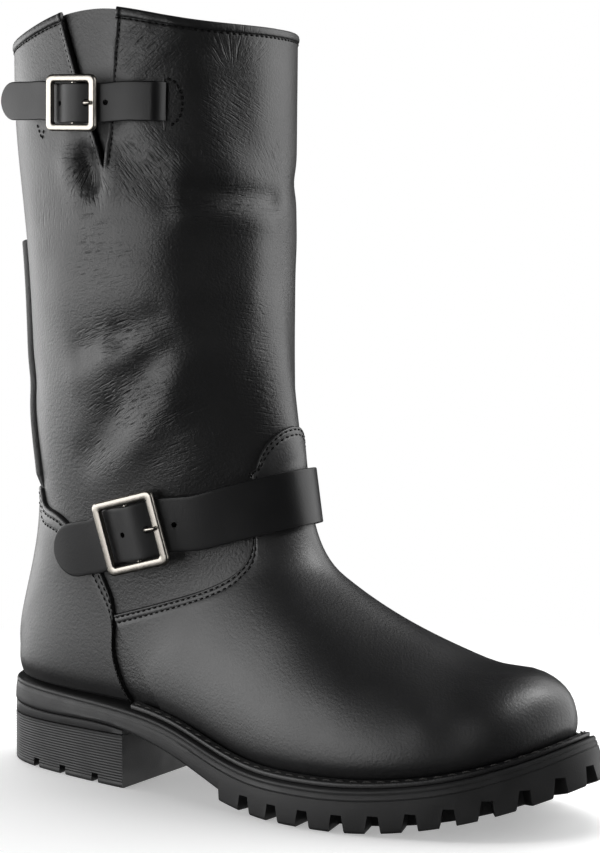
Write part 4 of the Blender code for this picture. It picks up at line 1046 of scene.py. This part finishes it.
# Welt
# A strip of leather from heel breast to heel breast round the toe, sewn through the sole with
# thick grey thread. Its top slopes out from the upper and its outer edge is rounded.
WELT_CLEAR, WELT_INSET = 0.9, 3.2
WELT_BED, TOE_CLEAR, TOE_FROM, TOE_RUN = 2.7, 1.7, 265.0, 30.0
# Section: share across and height, out along the underside and back over the top
WELT_ROWS = ((0, 0), (0.2, 0), (0.5, 0), (0.8, 0), (0.97, 0), (1, 0.5),
             (1, 1.4), (0.94, 1.95), (0.8, 2.15), (0.5, 2.3), (0.2, 2.65), (0, 2.85))
WELT_SEAM, SEAM_HEIGHT = 0.56, 2.3
WELT_STITCH = {"length": 4.8, "pitch": 6.3, "radius": 0.5, "sink": 1.0}
welt_start = HEEL_LENGTH + 3
welt_xs = stations(welt_start, SOLE_LENGTH, 150)
welt_far = outline(welt_xs, WELT_INSET, 1)
feather = welt_start + (welt_xs - welt_start) * (LAST_TOE - welt_start) / (SOLE_LENGTH - welt_start)
inside = np.stack([feather, FOOT["middle"](last_turn(feather)), sole_top(feather) + WELT_BED], -1)
sides = [cast(inside, np.array([[0, side, 0.0]]).repeat(len(feather), 0)) + (0, side * WELT_CLEAR, 0)
         for side in (-1, 1)]
welt_near = np.concatenate([sides[0][:, :2], sides[1][::-1, :2]])
welt_near[:, 0] += TOE_CLEAR * np.clip((welt_near[:, 0] - TOE_FROM) / TOE_RUN, 0, 1)


def welt_place(share, height):
    """Welt points at a share of the way across and a height over the sole's top."""
    flat = welt_near + (welt_far - welt_near) * share
    return np.c_[flat, sole_top(flat[:, 0]) + GAP + height]


welt_rings = np.stack([welt_place(*row) for row in WELT_ROWS], 1)
welt_rings = np.delete(welt_rings, len(welt_xs), 0)
welt_leather = full_grain("full grain leather, welt", 0.2, 0.0, 0.5, ("#0d0d0e", "#151516"))
welt = loft("leather_welt", welt_rings, welt_leather, sharp=50)
fit(welt, "leather", "welt")
grey_thread = waxed_thread("grey waxed thread", ("#2a2928", "#474645"))
welt_seam = np.delete(welt_place(WELT_SEAM, SEAM_HEIGHT), len(welt_xs), 0)
welt_up = np.array([[0, 0, 1.0]]).repeat(len(welt_seam), 0)
sew("welt_stitches", [stitch_row(welt_seam, welt_up, **WELT_STITCH)], grey_thread)

# Straps
# Two straps of firm strap leather, cut, edge-dyed and punched. Each is laid round the upper, goes
# under the buckle's bars and over its centre bar, and ends in a round tip.
STRAP_LIFT, CHAPE_LIFT, CHAPE_THICK = 4.1, 2.9, 1.2
BUCKLE_LIFT, BUCKLE_DEEP, PIN, HOLD_REACH = 7.9, 3.0, 1.0, 24.0
STRAP_ROUND, HOLE_RADIUS, PRONG_HOLE = 0.55, 1.3, 1.7
LEG_CORE = np.array((84.0, -3.0))           # where the planes' rays start
LIE_BEFORE, LIE_AFTER, DIP_RUN = 14.0, 6.0, 6.0     # where the strap lies down beside the buckle
PRONG_TILT, PRONG_RISE = 0.72, 3.85
STRAP_ROWS, TIP_ROWS, OUTER_Y = 190, 26, -15.0
# Ring of a strap's section, out along the back and back over the face: side, share of the
# width between the rounded corners, and degrees round each corner
CORNER = np.linspace(0, 90, 5)
SECTION_SIDE = np.repeat((-1, 1, -1), (6, 12, 6))
SECTION_SHARE = np.r_[np.ones(5), 0.9, 0.9, np.ones(10), 0.9, 0.9, np.ones(5)]
SECTION_TURN = np.radians(np.r_[180 + CORNER, 270, 270, 270 + CORNER, CORNER, 90, 90, 90 + CORNER])
SECTION_FACE = np.repeat((-1, 1), 12)


def strap_leather(name):
    """Firm vegetable-tanned strap leather, dyed through and rolled: even, matt, with a faint grain."""
    made, tree = new_finish(name)
    place = add_node(tree, "TexCoord", {}).outputs["Object"]
    cloud = add_node(tree, "TexNoise", {"Vector": place, "Scale": 1000 / 22, "Detail": 4.0})
    colour = add_node(tree, "Mix", {"Factor": cloud.outputs["Fac"], 6: linear("#101011"),
                                    7: linear("#181819")}, data_type="RGBA")
    gloss = add_node(tree, "MapRange", {"Value": cloud.outputs["Fac"], "From Min": 0.3, "From Max": 0.7,
                                        "To Min": 0.38, "To Max": 0.46})
    pores = add_node(tree, "TexVoronoi", {"Vector": place, "Scale": 1000 / 0.9}, feature="SMOOTH_F1")
    bump = add_node(tree, "Bump", {"Height": pores.outputs["Distance"], "Strength": 0.14,
                                   "Distance": 0.0002}, invert=True)
    close_finish(tree, add_node(tree, "BsdfPrincipled", {
        "Base Color": colour.outputs[2], "Roughness": gloss.outputs[0], "Normal": bump.outputs[0]}))
    return made


def strap_line(plane, slope, ends):
    """Points of the upper in a plane tilted along x, by degrees from the front to the outer side."""
    angle = np.radians(np.linspace(*ends, 241))[:, None]
    start = np.array((*LEG_CORE, plane[1] + slope * (LEG_CORE[0] - plane[0])))
    along = np.array((1, 0, slope)) / np.hypot(1, slope)
    return cast(start, np.cos(angle) * along - np.sin(angle) * np.array((0, 1.0, 0)))


def buckle_place(points, normals, home, shift, lean):
    """Origin and axes of a buckle: x along the strap to its fixed end, y across, z out. It is
    shifted across the strap and leans back at its top by degrees."""
    out = normals[home]
    along = points[home - 3] - points[home + 3]
    along = unit(along - out * (along @ out))
    across = np.cross(out, along)
    tilt = np.radians(lean)
    origin = points[home] + shift * across
    return origin, np.array((along, np.cos(tilt) * across - np.sin(tilt) * out,
                             np.sin(tilt) * across + np.cos(tilt) * out))


def rods(name, centres, ways, radius, length):
    """Cutter of round rods with their middles and directions given."""
    steps = np.array((-0.5, 0.5)) * length
    made = [tube(centre + steps[:, None] * way, (radius, radius), np.roll(way, 1), 20)
            for centre, way in zip(centres, ways)]
    one = np.concatenate([grid_faces(2, 20, True), cap_faces(0, 20), cap_faces(20, 20)])
    faces = (one + 40 * np.arange(len(made))[:, None, None]).reshape(-1, 4)
    return add_mesh(name, np.array(made), faces)


def lay_strap(name, plane, slope, ends, stiff, sink, buckle_x, shift, lean, half, thick, holes,
              window, bar, prong):
    """A rounded flat section carried along a line on the upper that rises through the buckle.

    Distances run from the buckle toward the tip. A stiff tip keeps to its tangent by that share,
    sink lowers the fixed end, and holes are punched at distances. Gives the buckle's place."""
    points = strap_line(plane, slope, ends)
    normals = surface_normal(points)
    run = run_along(points)
    home = int(np.argmin(np.where(points[:, 1] < OUTER_Y, np.abs(points[:, 0] - buckle_x), np.inf)))
    run -= run[home]
    origin, axes = buckle_place(points, normals, home, shift, lean)

    def over(along, lift):
        way = unit(at_run(along, run, normals))
        return at_run(along, run, points) + way * np.reshape(lift, (-1, 1))

    middle = thick / 2
    wide_in = window[0] / 2 + bar / 2
    low_out = BUCKLE_LIFT - GAP - middle - 0.4
    top_out = BUCKLE_LIFT + PIN + 2 * GAP + middle
    fixed = np.linspace(run[0], -wide_in - LIE_BEFORE, 16)
    free = np.linspace(wide_in + LIE_AFTER, run[-1], 5)
    free_lift = CHAPE_LIFT + CHAPE_THICK + 3 * GAP + middle
    start, following = over(free[0] + np.array((0, 1)), free_lift)
    tangent = start + (following - start) * (free - free[0])[:, None]
    dip = sink * np.clip(1 - (fixed - run[0]) / DIP_RUN, 0, 1)**2
    held = np.array(((wide_in, 0, low_out - 0.6), (0, 0, top_out), (-wide_in, 0, low_out - 0.3)))
    knots = np.concatenate([over(fixed, STRAP_LIFT + middle - dip), origin + held @ axes,
                            over(free, free_lift) * (1 - stiff) + tangent * stiff])
    path = spline(np.r_[fixed, -wide_in, 0, wide_in, free], knots)

    def lie(spots):
        """Middle line, across and out directions; near the buckle the strap turns with it."""
        ahead = path(spots + 0.5) - path(spots - 0.5)
        across = unit(np.cross(ahead, at_run(spots, run, normals)))
        near = np.clip(1 - (np.abs(spots) - wide_in - 2) / HOLD_REACH, 0, 1)[:, None]
        across = unit(across * (1 - near) + axes[1] * near)
        return path(spots), across, unit(np.cross(across, ahead))

    tip = run[-1]
    round_in = np.sin(np.linspace(0, 1, TIP_ROWS) * np.pi / 2)
    straight = np.linspace(run[0] + 1, tip - half, STRAP_ROWS, endpoint=False)
    spots = np.r_[straight, tip - half * (1 - round_in)]
    widths = np.r_[np.full(STRAP_ROWS, half), half * np.sqrt(1 - round_in**2)]
    centre, across, out = (v[:, None] for v in lie(spots))
    flat = np.clip(widths - STRAP_ROUND, 0, None)[:, None] * SECTION_SHARE * SECTION_SIDE
    wide = flat + STRAP_ROUND * np.cos(SECTION_TURN)
    high = SECTION_FACE * (middle - STRAP_ROUND) + STRAP_ROUND * np.sin(SECTION_TURN)
    rings = centre + across * wide[..., None] + out * np.broadcast_to(high, wide.shape)[..., None]
    strap = loft("leather_" + name + "_strap", rings, firm_leather, sharp=50)
    spots, _, ways = lie(np.array(holes, float))
    prong_spot = origin + np.array((prong, 0, BUCKLE_LIFT + PRONG_RISE - prong / 2)) @ axes
    prong_way = np.array((np.sin(PRONG_TILT), 0, np.cos(PRONG_TILT))) @ axes
    cut(strap, rods("strap holes", spots, ways, HOLE_RADIUS, 8.0),
        rods("prong hole", [prong_spot], [prong_way], PRONG_HOLE, 11.0))
    strap.data.set_sharp_from_angle(angle=np.radians(50))
    fit(strap, "strap", name + "_strap")
    dress(name + "_chape", firm_leather)
    return origin, axes


firm_leather = strap_leather("strap leather, edge dyed")
INSTEP = {"window": (25.1, 27.2), "bar": 4.0, "prong": 7.6}
COLLAR = {"window": (21.0, 18.8), "bar": 3.5, "prong": 7.2}
instep_place = lay_strap("instep", plane=(104, 122.2), slope=0.27, ends=(-128, 129.5), stiff=0.4,
                         sink=3.4, buckle_x=101.5, shift=1.4, lean=9, half=12.9, thick=2.2,
                         holes=(3.2, -20), **INSTEP)
collar_place = lay_strap("collar", plane=(84, 321.4), slope=-0.035, ends=(50, 135), stiff=0.75,
                         sink=5.4, buckle_x=83.5, shift=-1.2, lean=0, half=8.9, thick=2.0,
                         holes=(6.4, -15.6), **COLLAR)

# Buckles
# Square frames with a centre bar, cast in zinc, tumbled and plated with nickel, and a bent wire
# prong on each. They are held by the short straps underneath.
SECTION_POWER = 2 / 3.2
CORNER_OUT, CORNER_IN = 3.2, 1.2


def satin_nickel(name):
    """Nickel plate over a tumbled casting: warm white metal, softly blurred, with fine scuffs."""
    made, tree = new_finish(name)
    place = add_node(tree, "TexCoord", {}).outputs["Object"]
    scuff = add_node(tree, "TexNoise", {"Vector": place, "Scale": 1000 / 1.6, "Detail": 5.0})
    colour = add_node(tree, "Mix", {"Factor": scuff.outputs["Fac"], 6: linear("#b3ada4"),
                                    7: linear("#c6c1b9")}, data_type="RGBA")
    gloss = add_node(tree, "MapRange", {"Value": scuff.outputs["Fac"], "From Min": 0.3, "From Max": 0.7,
                                        "To Min": 0.28, "To Max": 0.34})
    bump = add_node(tree, "Bump", {"Height": scuff.outputs["Fac"], "Strength": 0.03, "Distance": 0.0002})
    close_finish(tree, add_node(tree, "BsdfPrincipled", {
        "Base Color": colour.outputs[2], "Metallic": 1.0, "Roughness": gloss.outputs[0],
        "Normal": bump.outputs[0]}))
    return made


def rounded(width, height, radius):
    """Rounded rectangle: four quarter circles, joined by the straight sides between them."""
    angle = np.linspace(0, np.pi / 2, 9) + np.arange(4)[:, None] * np.pi / 2
    sign = np.array(((1, 1), (-1, 1), (-1, -1), (1, -1)))
    middle = sign * (np.array((width, height)) / 2 - radius)
    return (middle[:, None] + radius * np.stack([np.cos(angle), np.sin(angle)], -1)).reshape(-1, 2)


def bowed(value):
    """Cosine or sine of a section angle, pressed toward a rounded square."""
    return np.sign(value) * np.abs(value)**SECTION_POWER


def make_buckle(name, place, window, bar, prong):
    """Frame: a rounded-square section between an outer and an inner rounded rectangle; a round
    centre bar joins its long sides, and the prong is a wire from its hole over the front bar."""
    origin, axes = place
    wide, high = window
    outer_line = rounded(wide + 2 * bar, high + 2 * bar, CORNER_OUT)
    inner_line = rounded(wide, high, CORNER_IN)
    angle = np.linspace(0, 2 * np.pi, 24, endpoint=False)
    half = (outer_line - inner_line)[:, None] / 2
    flat = (outer_line + inner_line)[:, None] / 2 + half * bowed(np.cos(angle))[:, None]
    up = BUCKLE_LIFT + BUCKLE_DEEP / 2 * (1 + bowed(np.sin(angle)))
    frame_grid = np.concatenate([flat, np.broadcast_to(up, flat.shape[:2])[..., None]], -1)
    frame_grid = np.concatenate([frame_grid, frame_grid[:1]])
    bar_y = np.array((-0.5, -0.499, 0.499, 0.5)) * (high + bar)
    bar_path = np.stack([0 * bar_y, bar_y, 0 * bar_y + BUCKLE_LIFT + 0.15], -1)
    bar_grid = tube(bar_path, (0, PIN, PIN, 0), np.array((0, 0, 1.0)))
    points = np.concatenate([frame_grid.reshape(-1, 3), bar_grid.reshape(-1, 3)])
    frame_faces = grid_faces(*frame_grid.shape[:2], True)
    bar_faces = grid_faces(4, 12, True) + frame_grid.shape[0] * frame_grid.shape[1]
    faces = np.concatenate([frame_faces, bar_faces])
    made = add_mesh("nickel_" + name + "_buckle", origin + points @ axes, faces, nickel, sharp=50)
    fit(made, "metal", name + "_buckle")

    far = wide / 2 + bar
    top = BUCKLE_LIFT + BUCKLE_DEEP + GAP + PIN
    hole = BUCKLE_LIFT + PRONG_RISE - 0.2 - prong / 2
    route = np.array(((prong - 2.3, hole - 2.2), (prong - 0.3, hole), (prong + 1.7, top - 1.2),
                      (prong + 4.1, top), (far - 0.6, top)))
    bent = evenly(route, 34)
    wire = np.stack([bent[:, 0], 0 * bent[:, 0], bent[:, 1]], -1)
    radii = PIN * np.r_[0, 0.6, 0.85, np.ones(25), 0.98, 0.94, 0.86, 0.72, 0.5, 0]
    pin = add_mesh("nickel_" + name + "_prong", origin + tube(wire, radii, np.array((0, 1.0, 0))) @ axes,
                   grid_faces(34, 12, True), nickel, sharp=80)
    fit(pin, "metal", name + "_prong")


nickel = satin_nickel("satin nickel plate")
make_buckle("instep", instep_place, **INSTEP)
make_buckle("collar", collar_place, **COLLAR)

# Camera
# It stands where the photograph was taken, at the outer front side a little above the instep.
PHOTO_WIDE, PHOTO_HIGH = 600, 853
VIEW_TURN, VIEW_TILT = np.radians(33.4), np.radians(3.5)
VIEW_DISTANCE, VIEW_HEIGHT, VIEW_AIM = 962.7, 258.7, 165.8
FOCAL_PIXELS, CENTRE_X, CENTRE_Y = 2081.0, 306.1, 365.2
toward = Vector((np.sin(VIEW_TURN), -np.cos(VIEW_TURN), 0))
eye = Vector((VIEW_AIM, 0, VIEW_HEIGHT)) + VIEW_DISTANCE * toward
right = Vector((np.cos(VIEW_TURN), np.sin(VIEW_TURN), 0))
ahead = -toward * np.cos(VIEW_TILT) - Vector((0, 0, np.sin(VIEW_TILT)))
lens = bpy.data.cameras.new("camera")
camera = bpy.data.objects.new("camera", lens)
bpy.context.scene.collection.objects.link(camera)
camera.matrix_world = (Matrix.Translation((eye - Vector(BOX_MIDDLE)) * MM)
                       @ Matrix((right, right.cross(ahead), -ahead)).transposed().to_4x4())
lens.sensor_fit = "VERTICAL"
lens.sensor_height = 24
lens.lens = FOCAL_PIXELS / PHOTO_HIGH * lens.sensor_height
lens.shift_x = (PHOTO_WIDE / 2 - CENTRE_X) / PHOTO_HIGH
lens.shift_y = (CENTRE_Y - PHOTO_HIGH / 2) / PHOTO_HIGH
bpy.context.scene.camera = camera

# Studio
# A white sweep under soft boxes: two side by side at the left, a large one at the right, a small
# one high at the right that is flagged off all but the vamp, and one overhead that casts the
# shadow. Neither that last one nor the sweep shines in the leather.
def soft_box(name, turn_by, lift_by, distance, size, power):
    """Area light aimed at the boot from degrees right of the camera and above the floor."""
    lamp = bpy.data.lights.new(name, "AREA")
    lamp.shape = "RECTANGLE"
    lamp.size, lamp.size_y = size
    lamp.energy = power
    made = bpy.data.objects.new(name, lamp)
    bpy.context.scene.collection.objects.link(made)
    angle, rise = VIEW_TURN + np.radians(turn_by), np.radians(lift_by)
    way = Vector((np.sin(angle) * np.cos(rise), -np.cos(angle) * np.cos(rise), np.sin(rise)))
    made.location = Vector((0, 0, 0.17)) + way * distance
    made.rotation_euler = way.to_track_quat("Z", "Y").to_euler()
    return made


soft_box("left box", -112, 2, 1.5, (2.2, 0.85), 17)
soft_box("front left box", -51, 3, 1.5, (1.4, 0.85), 10)
soft_box("right box", 104, 16, 1.5, (1.8, 2.3), 28)
toe_box = soft_box("toe box", 68, 44, 1.5, (0.9, 0.45), 10)
flagged = bpy.data.collections.new("lit by the toe box")
flagged.objects.link(vamp)
toe_box.light_linking.receiver_collection = flagged
soft_box("top box", 175, 66, 1.6, (1.6, 1.6), 28).visible_glossy = False
PAPER_NEAR, PAPER_FAR, PAPER_EDGE = 0.2, 0.45, 0.55
paper_ring = np.linspace(0, 2 * np.pi, 96, endpoint=False)
floor_mesh = bpy.data.meshes.new("floor")
paper_edge = np.stack([np.cos(paper_ring), np.sin(paper_ring), 0 * paper_ring], -1)
floor_mesh.from_pydata(PAPER_EDGE * paper_edge, (), [range(96)])
floor = bpy.data.objects.new("floor", floor_mesh)
floor.visible_glossy = floor.visible_shadow = False
bpy.context.scene.collection.objects.link(floor)
paper, paper_tree = new_finish("white paper sweep")
spot = add_node(paper_tree, "TexCoord", {}).outputs["Object"]
out_by = add_node(paper_tree, "VectorMath", {0: spot}, operation="LENGTH").outputs["Value"]
fade = add_node(paper_tree, "MapRange", {"Value": out_by, "From Min": PAPER_NEAR, "From Max": PAPER_FAR},
                interpolation_type="SMOOTHSTEP")
matt = add_node(paper_tree, "BsdfDiffuse", {"Color": linear("#f2f2f2")})
lit = add_node(paper_tree, "Emission", {"Color": linear("#ffffff"), "Strength": 0.35})
near_paper = add_node(paper_tree, "AddShader", {0: matt.outputs[0], 1: lit.outputs[0]})
far_paper = add_node(paper_tree, "Emission", {"Color": linear("#ffffff"), "Strength": 1.0})
close_finish(paper_tree, add_node(paper_tree, "MixShader", {0: fade.outputs[0], 1: near_paper.outputs[0],
                                                            2: far_paper.outputs[0]}))
floor_mesh.materials.append(paper)
world = bpy.data.worlds.new("studio")
bpy.context.scene.world = world
world.use_nodes = True
sky_tree = world.node_tree
sky_tree.nodes.clear()
seen = add_node(sky_tree, "LightPath", {}).outputs["Is Camera Ray"]
power = add_node(sky_tree, "MapRange", {"Value": seen, "To Min": 0.01, "To Max": 1.0})
backdrop = add_node(sky_tree, "Background", {"Color": linear("#ffffff"), "Strength": power.outputs[0]})
add_node(sky_tree, "OutputWorld", {"Surface": backdrop.outputs[0]})
bpy.context.scene.view_settings.view_transform = "Standard"
